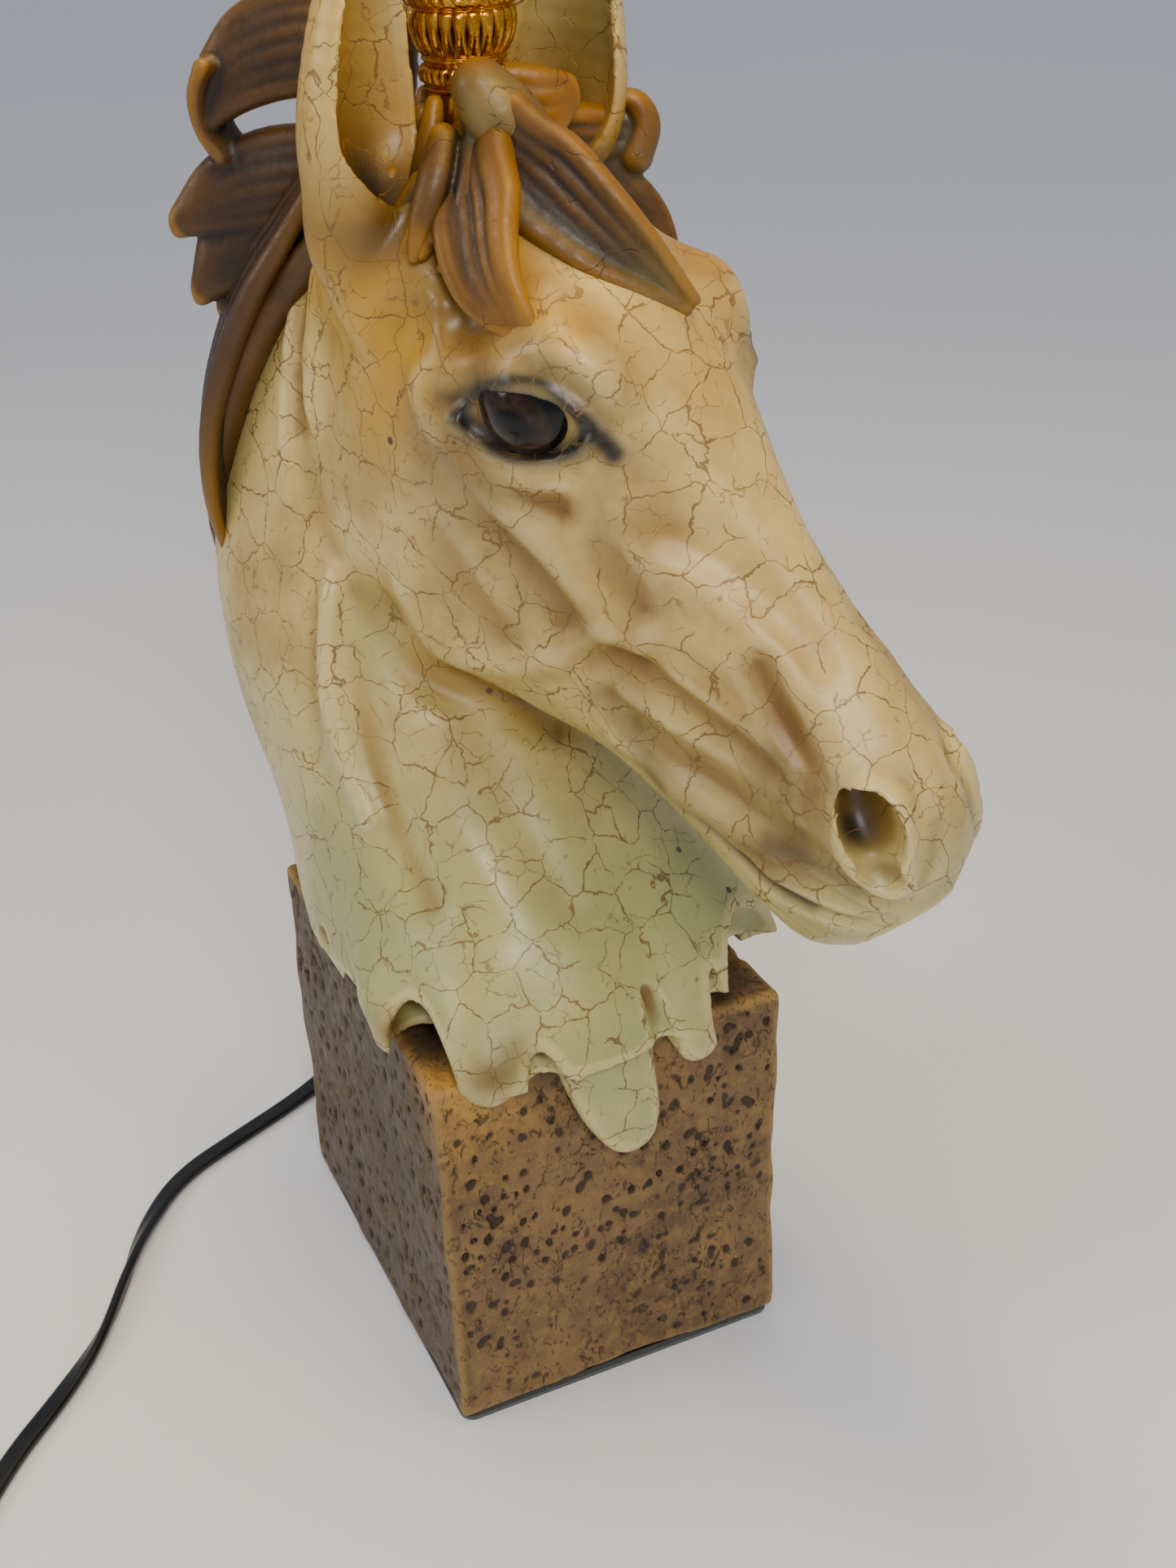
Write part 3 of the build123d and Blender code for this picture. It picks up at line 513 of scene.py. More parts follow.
class Clay:
    """A distance field on a grid, in millimetres: negative inside."""

    def __init__(self, low, high, step):
        self.low = np.array(low, float)
        self.step = step
        count = np.ceil((np.array(high) - self.low) / step).astype(int) + 1
        self.axes = [self.low[i] + step * np.arange(count[i]) for i in range(3)]
        self.f = np.full(count, 30.0, np.float32)

    def block(self, points, reach):
        """The part of the grid within reach of some points, and its coordinates."""
        points = np.atleast_2d(points)
        cut = []
        for i in range(3):
            a = int(np.floor((points[:, i].min() - reach - self.low[i]) / self.step))
            b = int(np.ceil((points[:, i].max() + reach - self.low[i]) / self.step)) + 1
            cut.append(slice(max(a, 0), max(b, 0)))
        x = self.axes[0][cut[0]][:, None, None].astype(np.float32)
        y = self.axes[1][cut[1]][None, :, None].astype(np.float32)
        z = self.axes[2][cut[2]][None, None, :].astype(np.float32)
        return tuple(cut), x, y, z

    def put(self, cut, d, k, cutting=False):
        """Join, or cut away, a field on a block, with a fillet about k wide."""
        old = self.f[cut]
        if cutting:
            old, d = -old, d
        if k <= 0:
            new = np.minimum(old, d)
        else:
            h = np.clip(k - np.abs(old - d), 0, None) / k
            new = np.minimum(old, d) - h * h * h * (k / 6.0)
        self.f[cut] = -new if cutting else new

    def oval(self, at, size, axes=None, k=4.0, cutting=False):
        """An ellipsoid with half sizes along three unit vectors."""
        at = np.asarray(at, float)
        axes = np.eye(3) if axes is None else np.asarray(axes, float)
        cut, x, y, z = self.block(at, max(size) + 2 * k + 2)
        if self.f[cut].size == 0:
            return
        x, y, z = [v - np.float32(c) for v, c in zip((x, y, z), at)]
        q, g = 0.0, 0.0
        for a, s in zip(axes, size):
            u = along(a, x, y, z) / np.float32(s)
            q = q + u * u
            g = g + (u / np.float32(s)) ** 2
        q = np.sqrt(q)
        d = q * (q - 1.0) / np.maximum(np.sqrt(g), 1e-4)
        self.put(cut, d, k, cutting)

    def nearest(self, path, x, y, z):
        """Distance to a polyline, with its other columns read at the nearest point."""
        best, carried = None, None
        for a, b in zip(path, path[1:]):
            ab = b[:3] - a[:3]
            n = max(float(ab @ ab), 1e-9)
            px, py, pz = [v - np.float32(c) for v, c in zip((x, y, z), a)]
            t = np.clip(along(ab, px, py, pz) / n, 0, 1)
            dx, dy, dz = [v - t * np.float32(c) for v, c in zip((px, py, pz), ab)]
            d2 = dx * dx + dy * dy + dz * dz
            here = [a[3 + i] + t * (b[3 + i] - a[3 + i]) for i in range(len(a) - 3)]
            if best is None:
                best, carried = d2, here
            else:
                nearer = d2 < best
                best = np.where(nearer, d2, best)
                carried = [np.where(nearer, new, old) for new, old in zip(here, carried)]
        return np.sqrt(best), carried

    def limb(self, points, k=3.0, cutting=False, flat=None, steps=5):
        """A tapering limb: points are (x, y, z, radius); flat = (direction, how much thinner)."""
        path = smooth_path(points, steps)
        cut, x, y, z = self.block(path[:, :3], path[:, 3].max() + 2 * k + 2)
        if self.f[cut].size == 0:
            return
        if flat is not None:
            path = path.copy()
            direction, thinner = unit(flat[0]), flat[1] - 1.0
            path[:, :3] += np.outer(path[:, :3] @ direction, direction) * thinner
            n = direction.astype(np.float32)
            over = along(n, x, y, z) * np.float32(thinner)
            x, y, z = x + over * n[0], y + over * n[1], z + over * n[2]
        best = None
        for a, b in zip(path, path[1:]):
            d, (r,) = self.nearest(np.array([a, b]), x, y, z)
            d = d - r
            best = d if best is None else np.minimum(best, d)
        if flat is not None:
            best = best / np.float32(sqrt(flat[1]))
        self.put(cut, best, k, cutting)

    def rod(self, line, radii, k):
        """A limb through points that have their radii apart."""
        self.limb([(*p, r) for p, r in zip(line, radii)], k)

    def stroke(self, points, steps=5):
        """Raise (or sink) the surface along a line: points are (x, y, z, width, height)."""
        path = smooth_path(points, steps)
        cut, x, y, z = self.block(path[:, :3], 2.6 * path[:, 3].max())
        if self.f[cut].size == 0:
            return
        d, (w, h) = self.nearest(path, x, y, z)
        w = np.maximum(w, 0.2)
        self.f[cut] -= (h * np.exp(-(d / w) ** 2)).astype(np.float32)

    def read(self, points, field=None):
        """Field values at points, between grid points by trilinear mixing."""
        field = self.f if field is None else field
        q = (np.asarray(points, float) - self.low) / self.step
        q = np.clip(q, 0, np.array(field.shape) - 1.001)
        i = q.astype(int)
        t = q - i
        out = 0.0
        for dx in (0, 1):
            for dy in (0, 1):
                for dz in (0, 1):
                    w = (np.abs(1 - dx - t[:, 0]) * np.abs(1 - dy - t[:, 1]) * np.abs(1 - dz - t[:, 2]))
                    out = out + w * field[i[:, 0] + dx, i[:, 1] + dy, i[:, 2] + dz]
        return out

    def out_from(self, start, direction, reach=140.0):
        """The first surface point met going out from inside the clay."""
        t = np.arange(0, reach, 0.5)
        points = np.asarray(start) + t[:, None] * np.asarray(direction)
        values = self.read(points)
        outside = np.nonzero(values > 0)[0]
        if len(outside) == 0 or outside[0] == 0:
            return points[0]
        j = outside[0]
        part = values[j - 1] / (values[j - 1] - values[j])
        return points[j - 1] + part * (points[j] - points[j - 1])


def blur(a, n):
    """Box blur of half width n along each axis."""
    for axis in range(3):
        c = np.cumsum(a, axis=axis, dtype=np.float32)
        size = a.shape[axis]
        hi = np.minimum(np.arange(size) + n, size - 1)
        lo = np.arange(size) - n - 1
        top = np.take(c, hi, axis=axis)
        bottom = np.take(c, np.maximum(lo, 0), axis=axis)
        shape = [1, 1, 1]
        shape[axis] = size
        bottom = bottom * (lo >= 0).reshape(shape)
        width = (hi - np.maximum(lo, -1)).astype(np.float32).reshape(shape)
        a = (top - bottom) / width
    return a


# ---------------------------------------------------------------- head frame
# x to the muzzle, y to the horse's left, z to the brow, from a point between the eyes
HEAD_AT = np.array([18.7, -41.8, 293.0])
HEAD_YAW, HEAD_DIP, HEAD_TILT = 27.0, 47.7, 5.6
HEAD_CORE_Z = -25.0


def head_axes():
    """Unit vectors to the muzzle, to the horse's left and to the brow."""
    yaw, dip, tilt = radians(HEAD_YAW), radians(HEAD_DIP), radians(HEAD_TILT)
    ahead = np.array([sin(yaw) * cos(dip), -cos(yaw) * cos(dip), -sin(dip)])
    side = np.array([cos(yaw), sin(yaw), 0.0])
    over = np.cross(ahead, side)
    left = side * cos(tilt) + over * sin(tilt)
    return np.array([ahead, left, np.cross(ahead, left)])


HEAD = head_axes()


def head(points):
    """Head-frame points (further columns kept) in the lamp's frame."""
    p = np.atleast_2d(np.asarray(points, float))
    out = p.copy()
    out[:, :3] = HEAD_AT + p[:, :3] @ HEAD
    return out


def on_skin(clay, x, angle, side):
    """The head's surface at a station x: angle 0 is the side, 90 the brow; side -1 is the right."""
    core = head((x, 0, HEAD_CORE_Z))[0]
    a = radians(angle)
    out = HEAD[1] * (side * cos(a)) + HEAD[2] * sin(a)
    return clay.out_from(core, out)


def skin_line(clay, places, side, *columns):
    """Surface points for (x, angle) places, with constant columns, such as width and height."""
    return [(*on_skin(clay, x, angle, side), *columns) for x, angle in places]


def table(stations, n=400):
    """Smoothly interpolated station values on an even spacing."""
    s = np.asarray(stations, float)
    dense = smooth_path(s, 12)
    t = np.linspace(s[0, 0], s[-1, 0], n)
    return t, [np.interp(t, dense[:, 0], dense[:, i]) for i in range(1, s.shape[1])]


# Skull sections: x, top, bottom, half width, how much narrower the top is
SKULL = [
    (-66, 8, -34, 17, 0), (-52, 17, -72, 27, 0), (-38, 21, -97, 33, 0), (-20, 23, -114, 37, 0),
    (0, 23.5, -120, 38, 0), (20, 21.5, -113, 35, .06), (38, 18.5, -99, 30, .12), (54, 16.5, -84, 25.5, .14),
    (70, 15.2, -73, 22, .12), (90, 15, -66, 20, .08), (110, 14.5, -61, 20, 0), (125, 12, -57, 20.5, -.05),
    (137, 5, -50, 17, -.1), (146, -8, -41, 9, 0),
]
# Neck sections: height, distance of the centre behind the axis, half length, half breadth, yaw, squareness
NECK = [
    (118, -4, 66, 55, 14, 3.6), (130, 2, 66, 54, 15, 3.3), (145, 12, 64, 50, 19, 2.7),
    (160, 21, 62, 46, 24, 2.3), (180, 33, 60, 42, 26, 2.2), (200, 41, 57, 38, 27, 2.2),
    (228, 47, 53, 31, 27, 2.2), (265, 38, 48, 26, 27, 2.2),
    (300, 22, 40, 23, 27, 2.2), (322, 9, 28, 21, 27, 2.2), (336, 2, 16, 15, 27, 2.2),
]


def skull_body(clay, k, power=2.3):
    """Superellipse sections square to the head's axis."""
    s = np.asarray(SKULL, float)
    low, high = s[0, 0], s[-1, 0]
    corners = [(x, y, z) for x, top, bottom, half, _ in s for y in (-half, half) for z in (top, bottom)]
    cut, x, y, z = clay.block(head(corners), 14)
    x, y, z = [v - np.float32(c) for v, c in zip((x, y, z), HEAD_AT)]
    p = [along(a, x, y, z) for a in HEAD]
    t, (top, bottom, half, egg) = table(s)
    station = np.clip(p[0], low, high)
    top, bottom, half = [np.interp(station, t, v) for v in (top, bottom, half)]
    mid, deep = (top + bottom) / 2, (top - bottom) / 2
    half = half * (1 - np.interp(station, t, egg) * np.clip((p[2] - mid) / deep, -1, 1))
    q = (np.abs(p[1] / half) ** power + np.abs((p[2] - mid) / deep) ** power) ** (1 / power)
    g = np.sqrt((p[1] / half**2) ** 2 + ((p[2] - mid) / deep**2) ** 2)
    d = (q - 1) * q / np.maximum(g, 1e-4) * 0.5 + (q - 1) * np.minimum(half, deep) * 0.5
    d = np.maximum(d, np.maximum(low - p[0], p[0] - high))
    clay.put(cut, d.astype(np.float32), k)


def neck_body(clay, k=8):
    """Level superellipse sections, wider at the chest than at the crest."""
    s = np.asarray(NECK, float)
    cut, x, y, z = clay.block([(-90, -80, s[0, 0]), (90, 110, s[-1, 0])], 0)
    t, (back, half_l, half_b, yaw, power) = table(s)
    level = np.clip(z, s[0, 0], s[-1, 0])
    columns = (back, half_l, half_b, power)
    back, half_l, half_b, power = [np.interp(level, t, v).astype(np.float32) for v in columns]
    yaw = np.radians(np.interp(level, t, yaw)).astype(np.float32)
    sy, cy = np.sin(yaw), np.cos(yaw)
    u = (x + sy * back) * sy - (y - cy * back) * cy
    v = (x + sy * back) * cy + (y - cy * back) * sy
    wide = half_b * (1 + 0.16 * np.clip(u / half_l, -1, 1))
    q = (np.abs(u / half_l) ** power + np.abs(v / wide) ** power) ** (1 / power)
    d = (q - 1) * np.minimum(half_l, wide)
    d = np.maximum(d, np.maximum(s[0, 0] - z, z - s[-1, 0]))
    clay.put(cut, d.astype(np.float32), k)


# Lines on the head's side: places (x, angle), width, height; widths are taken BROAD times, heights BOLD times
BROAD = 1.15
BOLD = 1.3
RIDGES = [
    ([(-21, 10), (-19, 22), (-16, 32), (-12, 44), (-8, 53), (-1, 59), (5, 60), (13, 56)], 6.0, 3.6),  # brow
    ([(-14, 7), (-3, 3), (8, 2), (17, 5), (28, 7), (38, 6), (46, 6)], 5.0, 3.4),  # cheek crest
    ([(-12, 0), (3, -16), (19, -26), (35, -31), (41, -32)], 6.0, 1.6),
    ([(10, -52), (26, -60), (38, -53), (44, -40), (47, -21), (48, -3), (55, 14)], 4.5, 2.2),  # jaw edge
    ([(16, 53), (28, 45), (36, 38), (44, 36), (52, 31)], 4.5, 2.0),
    ([(39, 38), (56, 57), (76, 64), (89, 65), (101, 63), (110, 62)], 5.0, 1.8),  # to the nostril
    ([(55, 22), (62, 36), (70, 48), (79, 48), (89, 45), (98, 45)], 4.5, 1.8),
    ([(58, 6), (70, 18), (82, 29), (94, 38), (103, 44)], 3.6, 1.6),
    ([(64, -25), (79, -15), (91, 3), (102, 18), (108, 30)], 4.2, 1.9),
    ([(70, -52), (84, -46), (94, -34), (104, -14), (112, 2)], 4.2, 1.6),
    ([(91, -47), (97, -34), (107, -24), (116, -14)], 5.0, 2.0),  # mouth corner
    ([(-68, -50), (-55, -53), (-44, -58)], 4.0, 1.4),
    ([(-66, -26), (-57, -34), (-40, -13), (-44, 8), (-43, 30), (-34, 34)], 3.6, 1.5),
    ([(-32, 32), (-26, 22), (-22, 8)], 3.8, 1.5),
]
GROOVES = [
    ([(-7, 45), (-1, 52), (6, 54), (13, 52), (18, 48)], 2.2, 1.6),  # over the lid
    ([(-17, 13), (-14, 18), (-13, 26)], 4.0, 2.2),
    ([(-6, 10), (2, 8), (10, 12), (20, 24)], 3.2, 1.8),  # under the bag
    ([(-4, -2), (12, -6), (26, -10), (40, -18)], 6.5, 2.6),
    ([(-8, -12), (6, -26), (22, -38), (34, -44)], 6.0, 1.4),
    ([(37, 33), (44, 32), (50, 28)], 2.4, 1.6),
    ([(14, 59), (18, 55), (24, 50)], 5.0, 2.2),
    ([(41, 59), (54, 66), (67, 70), (80, 74)], 5.5, 1.4),
    ([(76, 56), (84, 54), (93, 52), (101, 50), (107, 47)], 3.0, 2.6),  # before the nostril
    ([(61, -3), (69, 5), (80, 16), (88, 26), (98, 35)], 3.2, 2.0),
    ([(62, -34), (75, -27), (86, -12), (96, 6), (104, 18)], 3.4, 2.0),
    ([(71, -40), (82, -34), (91, -18), (103, 2), (110, 12)], 3.0, 1.5),
    ([(52, -24), (56, -8), (60, 6)], 5.0, 1.8),  # behind the jaw
    ([(-42, 49), (-29, 39), (-20, 37), (-14, 46)], 6.0, 2.6),  # by the forelock
    ([(112, 40), (110, 52), (112, 66), (118, 76), (126, 72), (134, 66)], 3.0, 1.6),
    ([(114, 22), (124, 30), (134, 38), (140, 48)], 3.0, 1.5),
]
MOUTH = ([(92, -52), (100, -48), (108, -43), (118, -34), (126, -22), (134, -6), (141, 14)], 1.8, 4.6)
LIP = ([(112, -24), (120, -8), (128, 10), (136, 22), (143, 34)], 3.0, 1.9)

UPPER_LID = [(-10, 15), (-10, 29), (-7, 39), (-3, 45), (3, 48), (9, 51), (13, 52)]
LOWER_LID = [(-9, 15), (-5, 14), (0, 16), (5, 22), (9, 31), (12, 42), (14, 51)]
BAG = [(-9, 13), (-3, 9), (5, 11), (12, 21), (16, 33)]


def eye_frame(clay, side):
    """Middle of the eye's opening on the skin, and its long, short and outward axes."""
    back, front = on_skin(clay, -9, 17, side), on_skin(clay, 11, 48, side)
    upper, lower = on_skin(clay, -7, 40, side), on_skin(clay, 4, 24, side)
    middle = (back + front + upper + lower) / 4
    long = unit(front - back)
    out = unit(np.cross(long, upper - lower))
    if out @ (HEAD[1] * side) < 0:
        out = -out
    return middle, np.array([long, np.cross(out, long), out])


EYE_R = 14.5            # of the ball, mm
EYE_BACK = 11.6         # from the opening's middle to the ball's
EYE_RIM = (15.6, 7.8)   # half sizes of the dark line round the opening


def eye_lids(clay, side):
    """Raised lids and bag, the opening, and the tear line at its front."""
    middle, axes = eye_frame(clay, side)
    clay.stroke(skin_line(clay, UPPER_LID, side, 2.7, 3.3))
    clay.stroke(skin_line(clay, LOWER_LID, side, 2.2, 2.4))
    clay.stroke(skin_line(clay, BAG, side, 2.4, 1.3))
    clay.oval(middle + axes[2] * 1.5 + axes[0] * 1.5, (16.6, 8.6, 5.8), axes, 1.0, True)
    clay.stroke(skin_line(clay, [(11, 50), (15, 52), (18, 53)], side, 2.0, -2.2))


def nostril(clay, side):
    """A teardrop opening with a raised rim and a shelf inside its front."""
    rim = [(113, 66), (114, 55), (120, 45), (128, 43), (134, 47), (136, 55), (131, 63), (123, 68), (116, 69),
           (113, 66)]
    clay.stroke(skin_line(clay, rim, side, 3.0, 3.0))
    middle = on_skin(clay, 122, 57, side)
    front = on_skin(clay, 132, 50, side)
    out = unit(middle - head((122, 0, HEAD_CORE_Z))[0])
    long = unit(on_skin(clay, 133, 51, side) - on_skin(clay, 115, 60, side))
    axes = np.array([long, np.cross(out, long), out])
    clay.oval(middle - out * 2.5 - long * 0.5, (11.5, 6.6, 10.5), axes, 1.4, True)
    clay.oval(front - out * 0.4 + long * 1.5, (8.0, 5.2, 4.6), axes, 1.4, True)


EAR_SPRAY = 3.0     # how far before an ear's middle its airbrush and painted shade lie
# Ears: root, middle, tip, the way that the hollow faces
EARS = [
    ((-31, -6, 322), (-28.5, -6, 352), (-25, -8, 391), (0.55, -0.84, 0.0)),
    ((24, 8, 326), (27, 5, 352), (31, 3, 389), (-0.62, -0.78, 0.0)),
]


def ear(clay, base, middle, tip, facing):
    """A flattened leaf, hollowed on the side that it faces."""
    base, middle, tip, facing = [np.asarray(v, float) for v in (base, middle, tip, facing)]
    quarter = (base + middle) / 2
    high = middle * 0.45 + tip * 0.55
    last = middle * 0.12 + tip * 0.88
    clay.limb([(*base, 11), (*quarter, 15.2), (*middle, 15.8), (*high, 11.8), (*last, 5.0), (*tip, 1.4)],
              4.0, flat=(facing, 1.22))
    ahead = facing * 8.6
    clay.limb([(*(quarter + ahead * 1.0), 6.0), (*(quarter * 0.4 + middle * 0.6 + ahead * 1.05), 13.0),
               (*(middle + ahead), 14.4), (*(high + ahead * 0.85), 10.8), (*(last + ahead * 0.6), 3.2)],
              1.6, True, flat=(facing, 1.12))


# Lines on the neck in the lamp's frame: points, width, height
NECK_LINES = [
    ([(-41, 31, 280), (-44, 26, 262), (-43, 19, 247), (-40, 10, 234), (-35, 1, 223), (-28, -8, 212),
      (-20, -15, 206), (-8, -22, 201), (8, -20, 190)], 4.5, -4.6),
    ([(-34, 1, 226), (-38, 1, 216), (-41, -3, 198), (-41, -9, 182), (-38, -18, 166), (-34, -28, 152)],
     7.0, -3.6),
    ([(-41, 12, 233), (-45, 12, 222), (-47, 8, 205), (-46, 0, 187), (-45, -10, 173)], 4.5, 3.2),
    ([(-42, 29, 272), (-44, 25, 251), (-45, 18, 233), (-50, 14, 204), (-53, 10, 183)], 4.0, -1.8),
    ([(-33, 31, 312), (-36, 29, 299), (-39, 30, 286), (-41, 30, 268)], 2.6, -1.8),
    ([(-36, 34, 312), (-40, 34, 296), (-43, 34, 280), (-45, 32, 264)], 2.6, 1.5),
    ([(-29, -15, 198), (-28, -21, 185), (-27, -28, 173), (-22, -37, 162), (-17, -46, 152)], 7.0, 1.6),
    ([(-14, -19, 194), (-12, -27, 182), (-8, -36, 168), (-4, -46, 152)], 6.0, -1.5),
    ([(-55, -18, 150), (-54, -14, 136), (-55, -22, 126)], 7.0, 1.2),
]


def bib(clay):
    """Tongues of painted hide over the plinth's edge, and the notches between them."""
    front = (0.0, 1.0, 0.0)
    tongues = [
        ([(-42, -19, 134, 8), (-49, -30, 127, 8.5), (-53, -39, 121.5, 5.5)], (0.75, 0.66, 0.1)),
        ([(-26, -42, 138, 9), (-32, -55, 128, 11), (-36, -65, 121, 8.5), (-37, -69, 118, 4)], (0.3, 0.95, 0)),
        ([(-5, -45, 142, 10), (-4.5, -56, 130, 13), (-3, -63.5, 118, 13.5), (-1, -67.5, 106, 12),
          (1.5, -68.5, 97, 10), (2.5, -69, 92.5, 8)], front),
        ([(20, -43, 142, 8), (23, -54, 131, 9), (23.5, -64, 120, 8), (23.5, -69, 114, 6)], front),
        ([(35, -38, 138, 7), (40, -46, 127, 7), (42, -52, 122, 5)], (-0.6, 0.8, 0)),
        ([(42, -24, 138, 8), (48, -29, 129, 9), (52, -31, 122.5, 6)], (1, 0.2, 0)),
    ]
    for points, thin in tongues:
        clay.limb(points, 8.0, flat=(thin, 2.4))
    notches = [
        [(-66, -72, 116, 18), (-54, -55, 119, 12), (-45, -42, 125, 7.5), (-40, -34, 132, 3)],
        [(-21, -88, 106, 9), (-22, -76, 115, 6), (-23, -69, 122, 3.8), (-23.5, -63, 127, 1.8)],
        [(15, -84, 98, 5), (14.5, -75, 111, 4.4), (13, -69, 122, 3.2), (11.5, -63, 131, 2.0)],
        [(34, -80, 110, 6), (33, -66, 120, 4.5), (31.5, -58, 127, 2.4)],
        [(64, -68, 112, 25), (57, -57, 119, 19.5), (50, -47, 126, 9), (46, -42, 131, 3)],
        [(70, -8, 116, 12), (58, -9, 122, 8), (50, -11, 129, 3.5)],
        [(-66, 12, 118, 6), (-55, 11, 124, 3.4), (-50, 10, 130, 1.8)],
        [(-62, 44, 116, 12), (-51, 41, 123, 6), (-45, 38, 130, 2.4)],
        [(-28, 80, 116, 13), (-26, 67, 122, 7), (-24, 60, 130, 2.4)],
        [(14, 80, 116, 12), (13, 67, 122, 6), (12, 60, 130, 2.4)],
        [(52, 56, 116, 14), (45, 47, 123, 7), (41, 42, 130, 2.4)],
        [(68, 20, 116, 11), (57, 18, 122, 6), (50, 16, 129, 2.4)],
    ]
    for points in notches:
        clay.limb(points, 2.0, True)


# The bust's underside: half sizes of the plinth's top, and just above its height
SEAT_HALF = (53.0, 67.0)
SEAT_Z = 120.6
# Lumps on the temple, under the ear: place (x, angle), width, height
TEMPLE = [((-60, -37), 6.5, 3.2), ((-44, -5), 7.5, 3.6), ((-72, -51), 4, 2), ((-39, -26), 5, 1.2)]


def bust_clay(step):
    """Neck, skull, bib and ears, then the lines worked into them."""
    clay = Clay((-66, -136, 82), (82, 104, 396), step)
    neck_body(clay)
    skull_body(clay, 4)
    for side in (-1, 1):
        clay.oval(head((-6, side * 20, 2))[0], (20, 14, 17), HEAD, 8)
        clay.oval(head((119, side * 10.5, -5))[0], (17, 10.5, 14), HEAD, 7)
        clay.oval(head((-50, side * 20, -22))[0], (18, 14, 22), HEAD, 8)
    clay.oval(head((131, 0, -42))[0], (14, 14, 10), HEAD, 6)
    bib(clay)
    clay.oval((-36, -6, 326), (8, 8, 14), None, 6)
    for low, middle, tip, facing in EARS:
        clay.oval((low[0] * 0.8, low[1], low[2] - 6), (14, 13, 15), None, 8)
        ear(clay, low, middle, tip, facing)
    for side in (-1, 1):
        for places, width, height in RIDGES:
            clay.stroke(skin_line(clay, places, side, width * BROAD, height * BOLD))
        for places, width, height in GROOVES:
            clay.stroke(skin_line(clay, places, side, width * BROAD, -height * BOLD))
        eye_lids(clay, side)
        nostril(clay, side)
        for places, width, height in (MOUTH, LIP):
            clay.stroke(skin_line(clay, places, side, width, -height))
    for points, width, height in NECK_LINES:
        clay.stroke([(*p, width, height) for p in points])
    for at, size, high in TEMPLE:
        for side in (-1, 1):
            p = on_skin(clay, *at, side)
            clay.stroke([(*p, size, high), (*(p + HEAD[0] * 2), size, high)])
    cut, x, y, z = clay.block([(-90, -62, 100), (90, 110, 120)], 0)
    over_plinth = np.maximum(np.abs(x) - SEAT_HALF[0], np.abs(y) - SEAT_HALF[1]) <= 0
    floor = np.where(over_plinth, SEAT_Z - z, -5.0)
    clay.f[cut] = np.maximum(clay.f[cut], floor.astype(np.float32))
    return clay


# ---------------------------------------------------------------- hair
def tress(clay, spine, half_widths, across, k=0.9, gap=4.4, plump=0.7):
    """A fluted lock: limbs side by side, about `gap` apart, drawn together at its ends."""
    spine = np.asarray(spine, float)
    widths = np.asarray(half_widths, float)
    across = np.atleast_2d(np.asarray(across, float))
    across = np.array([unit(a) for a in (across if len(across) > 1 else np.repeat(across, len(spine), 0))])
    ridges = max(3, int(round(2 * widths.max() / gap)) + 1)
    radii = 0.62 * 1.7 * widths / (ridges - 1) + plump
    for shift in np.linspace(-1, 1, ridges):
        line = spine + across * (widths * shift * 0.85)[:, None]
        clay.rod(line, radii * (1.15 - 0.25 * abs(shift)), k)


def around(points, margin):
    """The corners of a box with a margin round some points."""
    p = np.vstack([np.atleast_2d(np.asarray(q, float))[:, :3] for q in points])
    return p.min(0) - margin, p.max(0) + margin


def blade(clay, rim, foot, sizes, rows, k, plump=0.0):
    """A lock spread between two edges: rows are share of the way across, thickness, depth sunk."""
    for share, grow, sink in rows:
        line = rim * (1 - share) + foot * share - HEAD[2] * sink
        clay.rod(line, np.array(sizes) * grow + plump, k)


def head_line(*points):
    """Head-frame points in the lamp's frame, three columns each."""
    return head(points)[:, :3]


def forelock_inner_clay(step):
    """The crescent lock that ends by the right brow."""
    outer = head_line((-60, -14, 10), (-52, -22, 8), (-44, -28, 5), (-33, -31, 3), (-24, -31, 4),
                      (-16, -30, 8), (-10, -28, 11))
    inner = head_line((-60, -9, 20), (-50, -16, 20), (-42, -20, 20), (-35, -24, 17), (-27, -27.5, 15),
                      (-19, -28.5, 13.5), (-10, -28, 11.5))
    clay = Clay(*around([outer, inner, head_line((-67, -19, -8), (-47, -32, -22))], 11), step)
    rows = ((0.0, 0.44, 0.0), (0.18, 0.46, 1.6), (0.36, 0.5, 2.4), (0.54, 0.5, 2.2), (0.72, 0.5, 0.8),
            (0.88, 0.56, -0.8), (1.0, 0.6, -1.2))
    blade(clay, outer, inner, (6.5, 6.2, 5.6, 5.0, 4.2, 2.8, 1.0), rows, 1.2)
    for tuft in ([(-67, -19, -8), (-62, -23, -12), (-59, -25, -20), (-55, -27, -27)],
                 [(-60, -20, 0), (-57, -24, -6), (-54, -27, -12), (-49, -31, -20)],
                 [(-56, -20, 6), (-53, -25, 0), (-49, -29, -5), (-47, -32, -15)],
                 [(-52, -22, 8), (-48, -27, 3), (-45, -30, -2)]):
        clay.rod([head(p)[0] for p in tuft], (2.4, 2.6, 2.0, 0.9), 0.8)
    return clay


def forelock_long_clay(step):
    """The blade across the brow: a high rim and a hollowed face below it."""
    rim = head_line((-58, -9, 27), (-50, -8, 29), (-42, -6, 31.5), (-30, -4, 32), (-19, -1, 31), (-10, 2, 29),
                    (-1, 5, 27))
    foot = head_line((-58, -13, 20), (-47, -16, 18), (-38, -17, 17.5), (-27, -14, 19.5), (-18, -10, 21.5),
                     (-10, -4, 23.5), (-1, 4, 24.5))
    clay = Clay(*around([rim, foot], 10), step)
    rows = ((0.0, 0.5, 0.0), (0.16, 0.5, 2.0), (0.34, 0.55, 3.4), (0.52, 0.55, 3.8), (0.70, 0.55, 3.4),
            (0.86, 0.5, 2.0), (1.0, 0.42, 0.5))
    blade(clay, rim, foot, (5.0, 5.0, 4.6, 4.2, 3.4, 2.6, 1.3), rows, 1.3, 0.7)
    return clay


